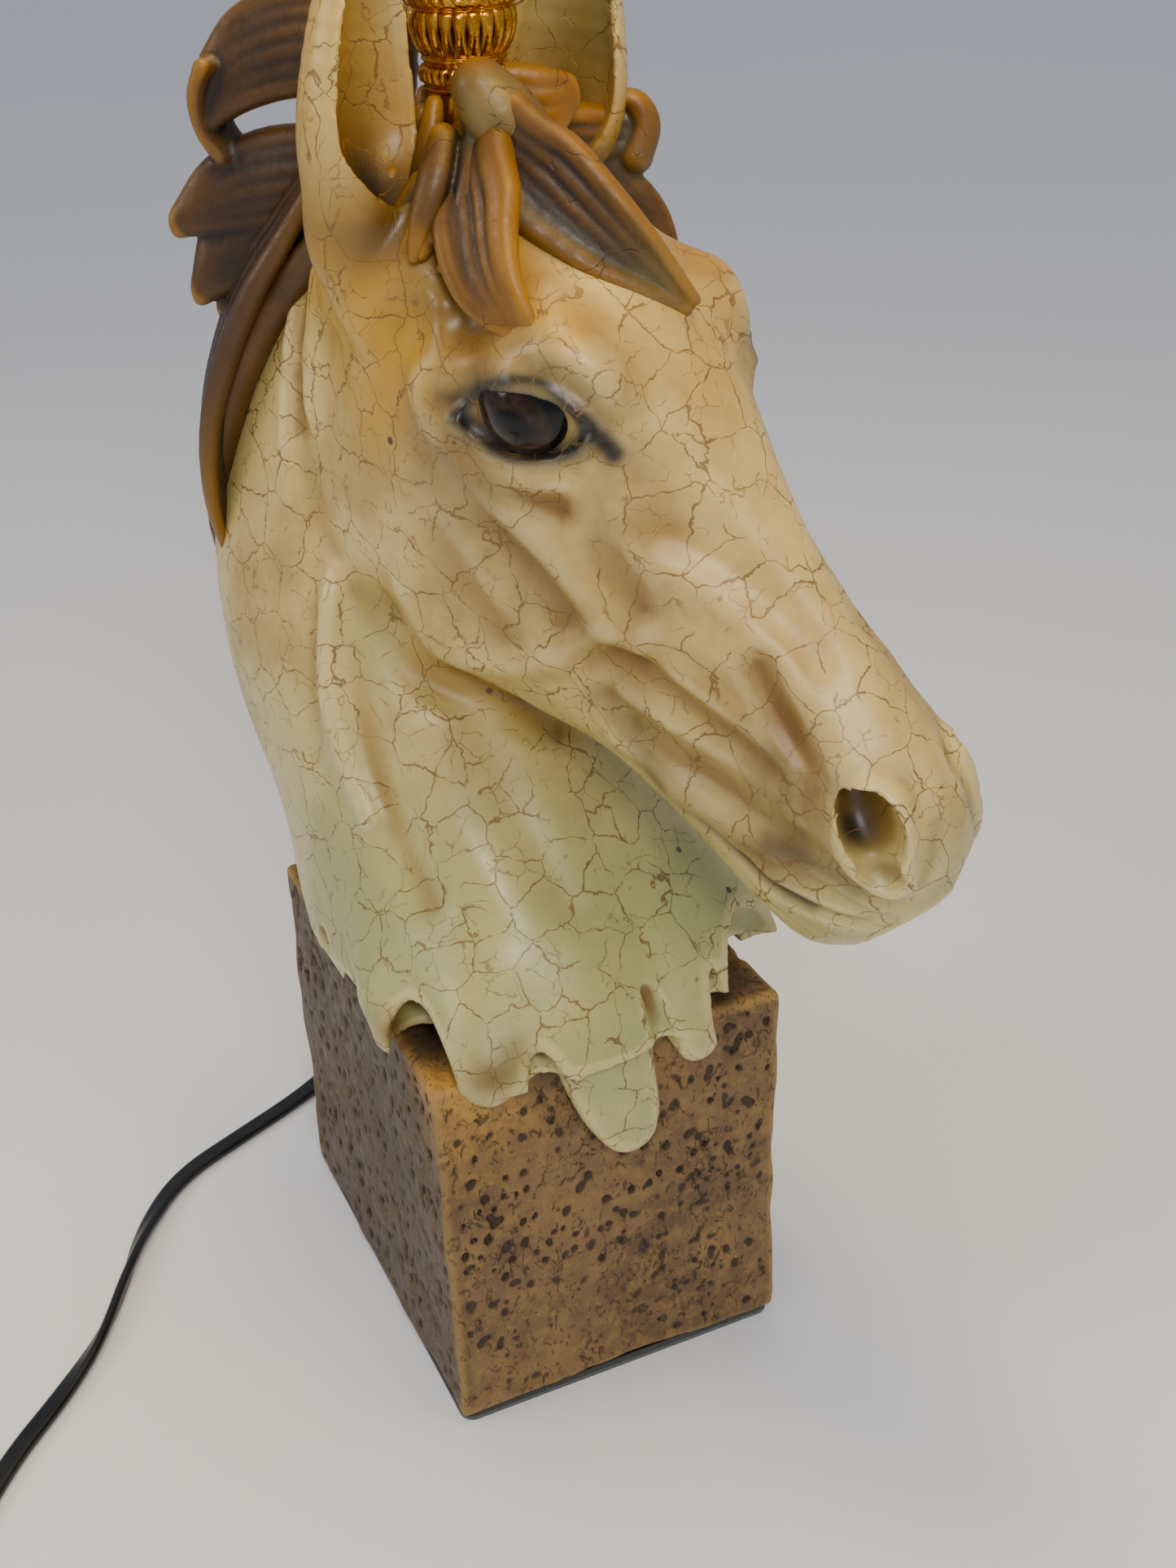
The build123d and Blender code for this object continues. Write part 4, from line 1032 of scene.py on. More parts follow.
def forelock_roll_clay(step):
    """The grey rolled stump, and the rough gilt hair round the column's foot."""
    clay = Clay((-34, -42, 318), (30, 26, 372), step)
    stump = [(6, -20, 336, 7.0), (3.5, -23, 342, 8.6), (-1, -24.5, 349, 9.0), (-5.5, -22.5, 356.5, 6.6)]
    clay.limb(stump, 2.0)
    groove = [(-13, -31, 357, 2.4), (-9.5, -33.5, 351, 3.6), (-5, -34.5, 345, 3.4), (2, -34, 339, 2.6)]
    clay.limb(groove, 1.5, True)
    rng = np.random.default_rng(7)
    hairs = 26
    for i in range(hairs):
        angle = 2 * pi * i / hairs + rng.uniform(-0.1, 0.1)
        low, top = rng.uniform(14, 20), rng.uniform(9.5, 13)
        lean = rng.uniform(-0.3, 0.3)
        height = rng.uniform(342, 352)
        clay.limb([(low * cos(angle), low * sin(angle), 322, 5.0),
                   ((low - 2) * cos(angle + lean / 2), (low - 2) * sin(angle + lean / 2), 334, 4.4),
                   (top * cos(angle + lean), top * sin(angle + lean), height, 2.2)], 1.0)
    for lock in ([(-14, -20, 346), (-18, -24, 338), (-22, -25, 330), (-25, -25, 322)],
                 [(-8, -24, 344), (-11, -28, 336), (-15, -30, 328), (-20, -30, 320)],
                 [(-4, -27, 340), (-7, -31, 333), (-10, -33, 326), (-14, -33, 319)]):
        clay.rod(lock, (3.6, 4.4, 3.4, 1.4), 1.0)
    return clay


def mane_flying_clay(step):
    """Locks blown out behind the right ear: a loop with a hole under it, and a fluted mass below."""
    clay = Clay((-68, 12, 286), (4, 70, 384), step)
    up = (0.1, 0.1, 1.0)
    tress(clay, [(-6, 27, 356), (-17, 35, 360.5), (-29, 43, 360.5), (-40, 48.5, 356.5), (-47, 51.5, 350)],
          (11, 11.5, 11.5, 10.5, 8), up, plump=1.6)
    tress(clay, [(-45.5, 50.5, 356), (-48, 52, 349), (-47.5, 52.5, 341), (-44, 51, 334)], (5.5, 5, 4.4, 4.4),
          (0.9, 0.4, 0.1), gap=3.0, plump=1.2)
    tress(clay, [(-10, 33, 328), (-24, 41, 328.5), (-38, 47.5, 327.5), (-50, 53, 324), (-58.5, 57, 318)],
          (10.5, 10.5, 10.5, 7.5, 2.5), up, plump=1.8)
    tress(clay, [(-12, 36, 316), (-27, 43, 318), (-41, 49, 315), (-51, 53, 309), (-55.5, 55, 301)],
          (14, 14, 12.5, 9, 3), up, plump=1.8)
    tress(clay, [(-18, 41, 303), (-32, 47, 306), (-43, 51, 303), (-50, 53.5, 296)], (11, 11, 8, 2.5), up,
          plump=1.6)
    return clay


def mane_crest_clay(step):
    """The long dark lock on the near side of the crest."""
    spine = [(-27, 32, 333), (-35, 38, 320), (-43, 45, 306), (-50, 52, 288), (-55.5, 57, 268), (-57, 62, 245),
             (-55, 66, 224)]
    clay = Clay(*around([spine], 16), step)
    tress(clay, spine, (6, 9, 11, 11, 9, 6, 1.5), (0.45, 0.75, 0.5), gap=5.5, plump=0.9)
    return clay


def mane_rear_clay(step):
    """The mane on the back of the neck, following its sections."""
    heights = (344, 328, 306, 282, 254, 226, 198, 176)
    halves = (8, 15, 19, 21, 21, 17, 11, 2.5)
    t, (back, half_l, _, yaw, _) = table(NECK)
    spine, across = [], []
    for z in heights:
        level = min(z, 330)
        reach = np.interp(level, t, back) + np.interp(level, t, half_l) - 3.5
        if z > 330:
            reach -= 8
        turn = radians(np.interp(level, t, yaw))
        spine.append((-sin(turn) * reach, cos(turn) * reach, z))
        across.append((cos(turn), sin(turn), 0))
    clay = Clay(*around([spine], 26), step)
    spine, across, halves = np.array(spine), np.array(across), np.array(halves, float)
    inward = np.array([(a[1], -a[0], 0) for a in across])
    rng = np.random.default_rng(11)
    strands = 13
    for i in range(strands):
        shift = 2 * i / (strands - 1) - 1
        wander = rng.uniform(-2.0, 2.0, len(spine))
        end = rng.integers(0, 2) if abs(shift) < 0.6 else rng.integers(1, 3)
        aside = across * (halves * shift * 0.9 + wander)[:, None]
        line = spine + aside + inward * (halves * 0.32 * shift**2)[:, None]
        radii = halves * 0.24 * (1.15 - 0.3 * abs(shift)) + 0.9
        stop = len(spine) - end
        radii[stop - 1] = 1.2
        clay.rod(line[:stop], radii[:stop], 0.9)
    return clay


def mane_curl_clay(step):
    """The shelf of hair beside the left ear: a hook that turns up, and a lobe below it."""
    clay = Clay((-2, -24, 296), (60, 34, 366), step)
    up = (-0.1, 0.0, 1.0)
    tress(clay, [(4, -8, 341), (14, -2, 338), (25, 1, 336), (36, 0, 335), (43, -2.5, 336)],
          (7, 8, 9, 8.5, 5), up, plump=1.4)
    clay.limb([(42, -3, 333, 4.6), (44.5, -3.5, 340, 4.0), (42.5, -3, 345.5, 3.0), (38, -2, 347.5, 1.4)], 1.6)
    tress(clay, [(20, 4, 327), (31, 1, 325), (41, -2, 320), (48, -5, 313), (50, -7, 305)],
          (9, 9.5, 8.5, 6, 2), up, plump=1.4)
    tress(clay, [(3, -5, 351), (10, -7, 350), (17, -9, 349), (22.5, -9, 350.5)], (5.5, 6.5, 6, 3), up,
          plump=1.2)
    tress(clay, [(24, 12, 330), (36, 12, 328), (46, 14, 322), (52, 17, 312)], (9, 9, 7, 2), up, plump=1.4)
    return clay


# ---------------------------------------------------------------- clay to mesh
def clay_mesh(name, clay, material):
    """Quads on the clay's surface, with hollows measured from how much clay is near."""
    grid = openvdb.FloatGrid(30.0)
    grid.copyFromArray(np.ascontiguousarray(clay.f))
    points, quads = grid.convertToQuads(0.0)
    places = clay.low + np.asarray(points, float) * clay.step
    quads = np.asarray(quads)
    a, b, c = (places[quads[:, i]] for i in range(3))
    if np.einsum("ij,ij->i", a, np.cross(b, c)).sum() < 0:
        quads = quads[:, ::-1]
    obj = mesh_object(name, places * MM, quads, material)
    solid = np.clip(0.5 - clay.f / clay.step, 0, 1)
    reach = max(int(round(2.2 / clay.step)), 1)
    near = blur(blur(solid, reach), reach)
    reach = max(int(round(5.0 / clay.step)), 2)
    far = blur(blur(solid, reach), reach)
    return obj, places, clay.read(places, near), clay.read(places, far)


def paint_and_light(places, strokes):
    """How much of a stroke's colour each place has, airbrush, painted shade and painted glow alike: strokes
    are lists of (x, y, z, width, strength).
    """
    total = np.zeros(len(places))
    for stroke in strokes:
        path = smooth_path(stroke, 3) if len(stroke) > 1 else np.array([stroke[0], stroke[0]])
        reach = 2.4 * path[:, 3].max()
        near = np.all((places > path[:, :3].min(0) - reach) & (places < path[:, :3].max(0) + reach), axis=1)
        p = places[near]
        if len(p) == 0:
            continue
        best = np.zeros(len(p))
        for a, b in zip(path, path[1:]):
            ab = b[:3] - a[:3]
            t = np.clip((p - a[:3]) @ ab / max(ab @ ab, 1e-9), 0, 1)
            d = np.linalg.norm(p - a[:3] - t[:, None] * ab, axis=1)
            w = a[3] + t * (b[3] - a[3])
            s = a[4] + t * (b[4] - a[4])
            best = np.maximum(best, s * np.exp(-(d / w) ** 2))
        total[near] = 1 - (1 - total[near]) * (1 - np.clip(best, 0, 1))
    return total


# Airbrush on the head: places (x, angle), width, strength; the brown is taken softer than listed
BROWN_SPREAD, BROWN_FADE = 1.25, 0.8
BROWN = [
    ([(-42, 45), (-32, 34), (-22, 32), (-15, 40), (-12, 47)], 8.0, 1.0),
    ([(-14, 10), (-4, 7), (4, 8), (12, 14), (20, 26)], 3.6, 0.75),
    ([(-4, -3), (12, -7), (26, -11), (40, -18)], 8.0, 0.75),
    ([(-12, -8), (0, -24), (18, -36), (32, -42)], 8.0, 0.45),
    ([(34, 33), (44, 31), (50, 28)], 4.0, 0.7),
    ([(78, 57), (86, 55), (95, 53), (104, 49)], 5.5, 0.75),
    ([(98, 40), (106, 34), (112, 24), (116, 12)], 9.0, 0.75),
    ([(56, -14), (72, -28), (86, -16), (98, 4)], 5.5, 0.6),
    ([(86, -46), (96, -40), (106, -30), (114, -18)], 7.0, 0.8),
    ([(60, 0), (72, 10), (84, 22), (96, 34)], 4.0, 0.55),
    ([(14, 60), (24, 54), (34, 50)], 6.0, 0.35),
    ([(-24, 62), (-14, 68), (-6, 66), (2, 66)], 6.0, 0.55),
    ([(30, 42), (40, 40), (52, 40)], 5.0, 0.3),
]
DARK = [
    ([(-11, 15), (-11, 29), (-8, 40), (-3, 47), (4, 50), (12, 52), (18, 54)], 2.0, 0.95),
    ([(-9, 16), (-4, 17), (1, 19), (6, 25), (9, 33), (12, 44)], 1.7, 0.8),
    ([(-16, 14), (-14, 20), (-12, 28)], 3.2, 0.55),
    ([(11, 50), (15, 52), (18, 53)], 2.8, 1.0),
    ([(-4, 51), (4, 55), (12, 56)], 3.0, 0.45),
    ([(60, -40), (74, -44), (84, -50)], 5.0, 0.4),
    ([(94, -50), (104, -46), (114, -38), (122, -28), (130, -14)], 2.4, 0.8),
    ([(112, 0), (118, 14), (124, 24), (132, 34)], 3.6, 0.5),
    ([(128, 80), (134, 74), (138, 66)], 2.0, 0.35),
]
# Gold on the upper head: gilt paint with the bulb's warm light painted onto it.
GILT_AND_GLOW = [
    ([(-60, -30), (-52, -20), (-44, -4), (-34, 10), (-28, 26), (-22, 40)], 12.0, 0.85),
    ([(-60, 10), (-56, 30), (-50, 44)], 10.0, 0.8),
    ([(-36, 66), (-26, 62), (-14, 60), (-8, 60)], 6.0, 0.7),
    ([(-70, -50), (-60, -44), (-48, -40), (-36, -30), (-26, -10)], 9.0, 0.5),
]
GREEN_SPOTS = [
    [(-35, 1, 222, 9, 0.8), (-40, -2, 205, 8, 0.5)],
    [(-52, -12, 138, 13, 0.8), (-40, -34, 134, 12, 0.7)],
    [(8, -53, 143, 14, 0.55), (2, -70, 112, 14, 0.75), (4, -70, 92, 12, 0.6)],
    [(-12, -64, 131, 10, 0.6)],
    [(31, 3, 366, 16, 0.9), (31, 3, 385, 14, 0.9)],
    [(-20, -15, 384, 12, 0.9), (-20, -16, 366, 12, 0.9), (-20, -16, 356, 9, 0.6)],
]
# Brown along the bib's lower edges over the plinth: painted shade.
BIB_EDGE = [
    [(-52, -38, 124, 6, 0.85)], [(-36, -68, 123, 7, 0.85), (-28, -66, 127, 5, 0.7)],
    [(-54, 12, 126, 5, 0.8)], [(55, -26, 124, 6, 0.6)], [(-40, -32, 128, 5, 0.7)],
    [(24, -70, 116, 4, 0.3)],
]


def on_both(clay, lines, spread=1.0, fade=1.0):
    """Airbrush lines on both sides of the head."""
    return [skin_line(clay, places, side, width * spread, strength * fade)
            for places, width, strength in lines for side in (-1, 1)]


def in_ear(shape, *spots):
    """Airbrush and painted shade along an ear's hollow: share of the way to the tip, width, strength."""
    base, middle, tip, facing = [np.asarray(v, float) for v in shape]
    line = []
    for share, width, strength in spots:
        at = [np.interp(share, (0, 0.45, 1), column) for column in zip(base, middle, tip)]
        line.append((*(at + facing * EAR_SPRAY), width, strength))
    return line


def make_bust():
    """The bust with its airbrushing, painted shade and painted bulb glow; gives back its clay, for the eyes.
    """
    clay = bust_clay(FINE)
    obj, places, near, far = clay_mesh("horse_bust_sculpted", clay, crackle_paint())
    dark = on_both(clay, DARK)
    for side in (-1, 1):
        centre, axes = eye_frame(clay, side)
        rim = [centre + axes[0] * (1 + EYE_RIM[0] * cos(t)) + axes[1] * EYE_RIM[1] * sin(t)
               for t in np.linspace(0, 2 * pi, 17)]
        dark.append([(*p, 3.4, 1.0) for p in rim])
        middle = on_skin(clay, 121, 58, side)
        inside = head((119, side * 13, -6))[0]
        dark.append([(*inside, 6.5, 1.0), (*(inside * 0.5 + middle * 0.5), 4.5, 1.0)])
    # Dark down the right ear's hollow: painted shade.
    dark.append(in_ear(EARS[0], (0.08, 12, 1.0), (0.28, 10, 0.95), (0.5, 9.5, 0.55), (0.9, 8, 0.5)))
    brown = on_both(clay, BROWN, BROWN_SPREAD, BROWN_FADE) + BIB_EDGE
    brown.append(in_ear(EARS[0], (0.1, 14, 1.0), (0.4, 11, 0.9), (0.65, 9, 0.35)))
    brown.append(in_ear(EARS[1], (0.1, 15, 1.0), (0.45, 12, 1.0), (0.75, 10, 0.7)))
    # Dark down the left ear's hollow: painted shade.
    dark.append(in_ear(EARS[1], (0.1, 13, 0.95), (0.4, 10, 0.6), (0.8, 9, 0.4)))
    # Gold on the upper head, right ear and crown: gilt paint with the bulb's warm light painted onto it.
    gilt_and_glow = on_both(clay, GILT_AND_GLOW)
    gilt_and_glow.append([(-44, -3, 330, 13, 0.8), (-44, -3, 350, 15, 0.85), (-38, -6, 370, 13, 0.9),
                 (-30, -9, 388, 8, 0.7)])
    gilt_and_glow.append([(0, 0, 336, 30, 1.0)])
    gilt_and_glow.append([(-24, -16, 318, 14, 0.9), (-32, -14, 300, 14, 0.8), (-36, -10, 280, 13, 0.55)])
    colour_attribute(obj, "paint_and_light", (paint_and_light(places, brown), paint_and_light(places, dark), paint_and_light(places, gilt_and_glow)))
    neck_green = 0.8 * np.clip((225 - places[:, 2]) / 80, 0, 1)
    green = np.maximum(paint_and_light(places, GREEN_SPOTS), neck_green)
    colour_attribute(obj, "relief", (green, near, far))
    link(obj, "stand", "crackle_resin", "horse_bust")
    return clay


def make_eyes(clay):
    """A ball with a slight cornea for each opening, cut off behind."""
    material = eye_paint()
    for side, node in ((-1, "eye_right"), (1, "eye_left")):
        middle, axes = eye_frame(clay, side)
        centre = middle - axes[2] * EYE_BACK
        rows, cols = 48, 96
        points, zone = [], []
        for i in range(rows + 1):
            polar = pi * 0.75 * i / rows
            bulge = 1 + 0.05 * np.exp(-(polar / 0.45) ** 2)
            for j in range(cols):
                turn = 2 * pi * j / cols
                local = np.array([sin(polar) * cos(turn), sin(polar) * sin(turn), cos(polar)])
                points.append(centre + EYE_R * bulge * (local @ axes))
                zone.append(polar)
        faces = ring_faces(rows + 1, cols, forward=False)
        faces.append(tuple(range(rows * cols, (rows + 1) * cols))[::-1])
        obj = mesh_object(node + "_ball", np.array(points) * MM, faces, material)
        colour_attribute(obj, "relief", (np.array(zone), 0.0, 0.0))
        link(obj, "stand", "eye_gloss", node)


HAIR = [
    ("forelock_inner", forelock_inner_clay), ("forelock_long", forelock_long_clay),
    ("forelock_roll", forelock_roll_clay), ("mane_flying", mane_flying_clay), ("mane_crest", mane_crest_clay),
    ("mane_rear", mane_rear_clay), ("mane_curl", mane_curl_clay),
]
# Colour on the locks in the lamp's frame: brown, dark, gilt with painted bulb glow, grey
HAIR_PAINT_AND_LIGHT = {
    "forelock_inner": ([], [], [[(2, -18, 338, 12, 0.8), (-4, -45, 325, 12, 0.9), (0, -52, 305, 8, 0.5)]],
                       []),
    "forelock_long": ([[(8, -22, 332, 12, 0.5)]], [], [[(6, -10, 345, 9, 0.9), (18, -18, 335, 7, 0.6)]],
                      [[(26, -42, 312, 14, 0.95), (20, -34, 320, 9, 0.6)]]),
    "forelock_roll": ([], [[(-20, -14, 334, 8, 0.6)]], [[(-3, -12, 345, 12, 0.9), (-6, -22, 360, 4, 0.8)]],
                      [[(1, -26, 345, 7, 1.0), (-4, -26, 353, 7, 1.0)]]),
    "mane_flying": ([[(-46, 50, 345, 14, 0.8), (-50, 52, 310, 16, 0.7)]], [], [[(-14, 33, 369, 12, 0.9)]],
                    []),
    "mane_crest": ([[(-36, 38, 318, 20, 0.9), (-52, 52, 285, 24, 1.0), (-57, 62, 240, 20, 1.0)]], [], [], []),
    "mane_rear": ([[(-30, 60, 300, 30, 0.8), (-45, 88, 220, 30, 0.9)]], [], [], []),
    "mane_curl": ([], [], [[(20, -3, 340, 14, 0.8), (12, -6, 350, 9, 0.9)]], [[(42, -3, 333, 7, 0.3)]]),
}


def make_hair():
    """Every lock, from its own clay."""
    material = mane_paint()
    for node, shape in HAIR:
        clay = shape(HAIR_STEP)
        obj, places, near, far = clay_mesh(node + "_lock", clay, material)
        brown, dark, gilt_and_glow, grey = (paint_and_light(places, strokes) for strokes in HAIR_PAINT_AND_LIGHT[node])
        colour_attribute(obj, "paint_and_light", (brown, dark, gilt_and_glow))
        colour_attribute(obj, "relief", (grey, near, far))
        link(obj, "stand", "mane_resin", node)


# ---------------------------------------------------------------- plinth
def soft_noise(shape, reach, seed):
    """Smooth random field, about -1 to 1."""
    rng = np.random.default_rng(seed)
    a = blur(blur(rng.standard_normal(shape).astype(np.float32), reach), reach)
    return a / (2.2 * a.std())


PITS = 1100
PLINTH_INSET = 1.3      # from the CAD box to the mean surface, mm
EDGE_ROUNDING = 1.6
# Airbrush on the plinth: rubbed gilt with painted warm glow at the front-left corner, and painted shadow
# under the bib
PLINTH_GILT_AND_GLOW = [
    [(-47, -60, 118, 12, 1.0), (-38, -64, 114, 9, 0.8)], [(-30, -66, 108, 12, 0.5), (-44, -66, 100, 12, 0.5)],
    [(18, -66, 112, 9, 0.45)],
]
PLINTH_SHADE = [
    [(-44, -44, 120, 10, 0.85), (-38, -34, 120, 9, 1.0)], [(-18, -66, 119, 7, 0.9), (-22, -66, 113, 6, 0.5)],
    [(40, -50, 120, 9, 0.55), (34, -62, 120, 5, 0.6)], [(0, 0, 120, 60, 0.35)], [(52, -16, 120, 7, 0.8)],
    [(-53, 12, 119, 5, 0.8)], [(12, -66, 118, 5, 0.5)],
]


def make_plinth():
    """A rounded block with hewn waves, chips and pits."""
    low, high = [np.array(v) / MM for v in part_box("plinth_casting")]
    clay = Clay(low - 3, high + 3, FINE)
    x = clay.axes[0][:, None, None]
    y = clay.axes[1][None, :, None]
    z = clay.axes[2][None, None, :]
    middle, half = (low + high) / 2, (high - low) / 2 - PLINTH_INSET
    q = [np.abs(v - m) - h + EDGE_ROUNDING for v, m, h in zip((x, y, z), middle, half)]
    outside = np.sqrt(sum(np.maximum(v, 0) ** 2 for v in q))
    d = outside + np.minimum(np.maximum(np.maximum(q[0], q[1]), q[2]), 0) - EDGE_ROUNDING
    shape = clay.f.shape
    waves = soft_noise(shape, int(11 / FINE), 1) * 0.55 + soft_noise(shape, int(4 / FINE), 2) * 0.4
    level = np.clip((z - (high[2] - 4)) / 3, 0, 1)
    hewn = waves * (1 - 0.75 * level)
    chips = np.clip(soft_noise(shape, max(int(2 / FINE), 1), 3) - 0.75, 0, None) * 1.6 * (1 - 0.8 * level)
    clay.f = (d + np.clip(hewn, -1.2, 2.5) + chips).astype(np.float32)
    rng = np.random.default_rng(5)
    for _ in range(PITS):
        face = rng.integers(0, 4)
        axis, sign = face // 2, 1 if face % 2 else -1
        at = rng.uniform(low + 5, high - 4)
        at[axis] = (high if sign > 0 else low)[axis] - sign * 1.0
        size = rng.uniform(0.6, 1.5)
        lean = rng.uniform(-0.5, 0.5)
        tall = unit((lean, lean, 1.0))
        out = np.eye(3)[axis]
        axes = (tall, unit(np.cross(out, tall)), out)
        clay.oval(at, (size * rng.uniform(1.0, 1.9), size, 1.5), axes, 0.8, True)
    obj, places, near, far = clay_mesh("plinth_hewn", clay, hewn_paint())
    # Side faces darker: painted shade, most on the left, then the back, then the right.
    left = np.clip((-places[:, 0] - 46) / 4, 0, 1)
    back = np.clip((places[:, 1] - 58) / 5, 0, 1)
    right = np.clip((places[:, 0] - 48) / 4, 0, 1)
    grey = np.maximum(np.maximum(left * 0.9, back * 0.7), right * 0.5)
    to_edge_x = half[0] - np.abs(places[:, 0] - middle[0])
    to_edge_y = half[1] - np.abs(places[:, 1] - middle[1])
    to_top = high[2] - PLINTH_INSET - places[:, 2]
    nearest = np.sort(np.stack([to_edge_x, to_edge_y, to_top]), axis=0)
    edge = np.exp(-(np.maximum(nearest[1], 0) / 2.2) ** 2)
    top_edge = edge * np.clip(1 - to_top / 6, 0, 1)
    # Gilt on the top edges, and at the front-left corner gilt with painted warm glow.
    gilt_and_glow = np.maximum(np.clip(top_edge * 0.95, 0, 1), paint_and_light(places, PLINTH_GILT_AND_GLOW))
    gilt_and_glow = np.maximum(gilt_and_glow, edge * 0.2)
    colour_attribute(obj, "paint_and_light", (grey, paint_and_light(places, PLINTH_SHADE), gilt_and_glow))
    colour_attribute(obj, "relief", (0.0, near, far))
    link(obj, "stand", "hewn_resin", "plinth_casting")


# ---------------------------------------------------------------- column
# Turned outline up to the plain top: radius, height above the foot
COLUMN_OUTLINE = [
    (13.0, 0), (11.2, 3), (9.8, 8), (8.9, 14), (8.8, 18), (9.6, 19), (9.9, 19.6), (9.2, 20.2), (10.6, 21),
    (11.0, 22.5), (10.6, 24), (9.2, 24.8), (9.8, 25.4), (10.1, 26), (9.7, 26.6), (10.6, 27.4), (12.0, 30),
    (12.7, 33), (12.5, 36), (11.6, 37.2), (12.8, 37.8), (13.6, 39), (13.6, 42), (12.8, 43.2), (12.2, 44),
    (11.0, 45.5), (9.4, 48), (8.4, 51), (8.8, 53.5), (10.4, 55), (11.8, 56), (12.0, 57),
]
COLUMN_SEGMENTS = 264
BEADS, FLUTES, ROPE_TURNS = 14, 11, 16      # each stands twice round the column


def make_column():
    """Turned gilt column with a bead ring and a band of gadroons."""
    low, high = [np.array(v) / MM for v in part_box("column")]
    z0 = low[2]
    outline = COLUMN_OUTLINE + [(12.0, high[2] - z0)]
    fine = smooth_path([(r, z, 0) for r, z in outline], 5)
    profile = [(r, z0 + h) for r, h, _ in fine]
    depth = []

    def ripple(r, z, angles):
        h = z - z0
        bead_band = np.exp(-((h - 22.5) / 1.5) ** 2)
        gadroon_band = np.clip(1 - abs(h - 32) / 5.2, 0, 1) ** 0.5
        rope_band = np.exp(-((h - 40.5) / 1.9) ** 2)
        beads = np.abs(np.cos(angles * BEADS)) ** 0.7
        flutes = np.abs(np.cos(angles * FLUTES + 0.12 * np.sin(3 * angles))) ** 0.6
        rope = np.abs(np.cos(angles * ROPE_TURNS + h * 0.9)) ** 0.6
        rough = 0.12 * np.sin(17 * angles + 1.3 * h) * np.sin(7 * angles - 2.1 * h)
        sunk = bead_band * (1 - beads) * 1.5 + gadroon_band * (1 - flutes) * 1.7
        sunk = sunk + rope_band * (1 - rope) * 1.2
        depth.append(np.clip(sunk * 0.75, 0, 1))
        return r - sunk + rough

    obj = turned("column_turned", profile, COLUMN_SEGMENTS, gilt_paint(), ripple)
    waist = np.repeat([np.clip((11.4 - r) / 3.2, 0, 1) * 0.45 for r, _ in profile], COLUMN_SEGMENTS)
    hollow = np.maximum(np.concatenate(depth), waist)
    colour_attribute(obj, "relief", (hollow, hollow, hollow))
    link(obj, "stand", "gilt", "column")


bust = make_bust()
make_eyes(bust)
make_hair()
make_plinth()
make_column()


# ---------------------------------------------------------------- CAD nodes that stay
def dress(material, *nodes):
    """Give CAD nodes a material."""
    for node in nodes:
        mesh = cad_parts[node].data
        mesh.materials.clear()
        mesh.materials.append(material)


# Each finish: two tones, roughness, grain scale, bump, metal, clear coat, and the nodes that have it
FINISHES = {
    "black_holder": ((12, 12, 12), (22, 21, 20), 0.2, 240, 0.08, 0.0, 0.4,
                     "holder_cap", "holder_skirt", "shade_ring"),
    "knob_plastic": ((14, 14, 14), (26, 25, 24), 0.25, 240, 0.08, 0.0, 0.3, "switch_knob"),
    "contact_brass": ((196, 146, 62), (222, 178, 92), 0.28, 300, 0.12, 1.0, 0.0,
                      "screw_shell", "centre_contact", "terminal_screws", "switch_shaft"),
    "brass": ((206, 152, 58), (232, 186, 92), 0.18, 300, 0.1, 1.0, 0.0, "check_ring"),
    "zinc_pipe": ((150, 146, 126), (186, 184, 168), 0.35, 300, 0.2, 1.0, 0.0,
                  "lamp_pipe", "pipe_washer", "pipe_nut"),
    "zinc_screws": ((160, 160, 156), (192, 192, 190), 0.32, 300, 0.2, 1.0, 0.0, "base_screws"),
    "bulb_nickel": ((186, 184, 178), (212, 210, 204), 0.25, 300, 0.15, 1.0, 0.0, "bulb_cap"),
    "pin_nickel": ((190, 188, 182), (222, 220, 214), 0.16, 300, 0.1, 1.0, 0.0, "plug_pins"),
    "solder": ((150, 150, 152), (184, 184, 186), 0.42, 300, 0.3, 1.0, 0.0, "bulb_tip"),
    "insert_ceramic": ((214, 210, 200), (232, 229, 220), 0.5, 300, 0.2, 0.0, 0.0, "holder_insert"),
    "insert_plastic": ((26, 26, 26), (38, 38, 38), 0.45, 300, 0.2, 0.0, 0.0, "switch_body"),
    "cover_plastic": ((14, 14, 14), (26, 26, 26), 0.5, 300, 0.3, 0.0, 0.0, "base_cover"),
    "flex_rubber": ((13, 13, 13), (24, 24, 24), 0.6, 300, 0.3, 0.0, 0.0, "cord_bush"),
    "plug_plastic": ((14, 14, 15), (24, 24, 25), 0.4, 300, 0.25, 0.0, 0.0, "plug_body"),
    "bulb_black_glass": ((8, 8, 12), (16, 16, 22), 0.08, 300, 0.05, 0.0, 1.0, "bulb_insulator"),
}
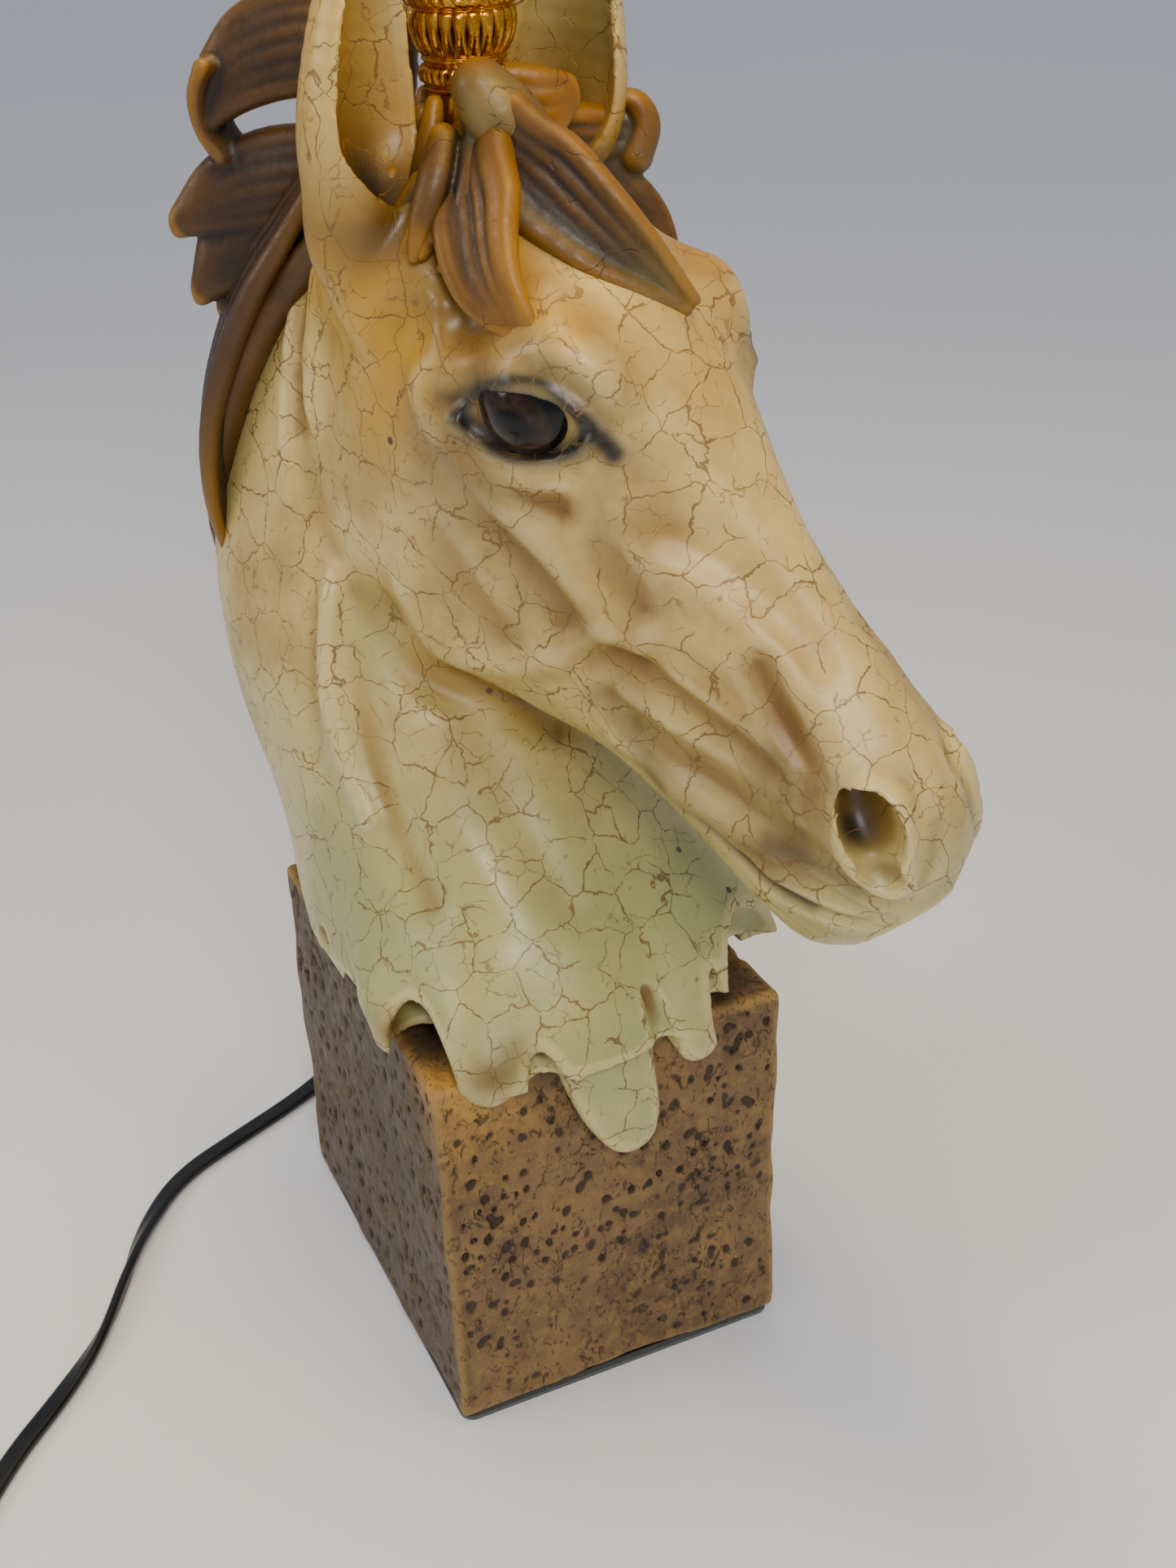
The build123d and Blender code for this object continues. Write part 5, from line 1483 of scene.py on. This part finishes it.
for finish, (dark, light, rough, scale, bump, metal, coat, *nodes) in FINISHES.items():
    dress(plain_paint(finish, rgb(*dark), rgb(*light), rough, scale, bump, metal, Coat_Weight=coat), *nodes)

WARM = (1.0, 0.72, 0.38, 1.0)
dress(flex_pvc, "inner_flex")
dress(felt_paint(), "base_felt")
dress(glow_paint("bulb_glass", rgb(250, 240, 220), WARM, 12.0), "bulb_glass")
dress(glow_paint("bulb_inner_glass", rgb(240, 230, 210), WARM, 2.0), "bulb_mount")


# ---------------------------------------------------------------- floor and light
def make_floor():
    paint = Paint("floor", Roughness=0.8)
    cloud = paint.noise(3.0, 3)
    material = paint.finish(Base_Color=paint.mix(cloud, rgb(246, 246, 250), rgb(250, 250, 252)))
    size = 4.0
    corners = [(-size, -size, 0), (size, -size, 0), (size, size, 0), (-size, size, 0)]
    floor = mesh_object("floor", corners, [(0, 1, 2, 3)], material)
    bpy.context.scene.collection.objects.link(floor)


def area_light(name, at, target, size, energy, colour):
    data = bpy.data.lights.new(name, "AREA")
    data.shape = "DISK"
    data.size = size
    data.energy = energy
    data.color = colour
    light = bpy.data.objects.new(name, data)
    light.location = at
    light.rotation_euler = (Vector(target) - Vector(at)).to_track_quat("-Z", "Y").to_euler()
    bpy.context.scene.collection.objects.link(light)


def make_light():
    world = bpy.data.worlds.new("world")
    world.use_nodes = True
    sky = world.node_tree.nodes["Background"]
    sky.inputs["Color"].default_value = (0.86, 0.90, 1.0, 1.0)
    sky.inputs["Strength"].default_value = 0.43
    bpy.context.scene.world = world
    middle = (0.0, 0.0, 0.25)
    area_light("key", (-0.25, -1.0, 1.0), middle, 0.4, 7.5, (1.0, 0.97, 0.90))
    area_light("top", (0.0, 0.05, 0.95), middle, 0.25, 2.4, (1.0, 0.82, 0.45))
    area_light("glow", (0.03, -0.13, 0.50), (0.0, -0.02, 0.32), 0.08, 0.25, (1.0, 0.66, 0.14))
    area_light("rim", (-1.0, 0.2, 0.7), middle, 0.5, 3.0, (1.0, 0.95, 0.85))


make_floor()
make_light()
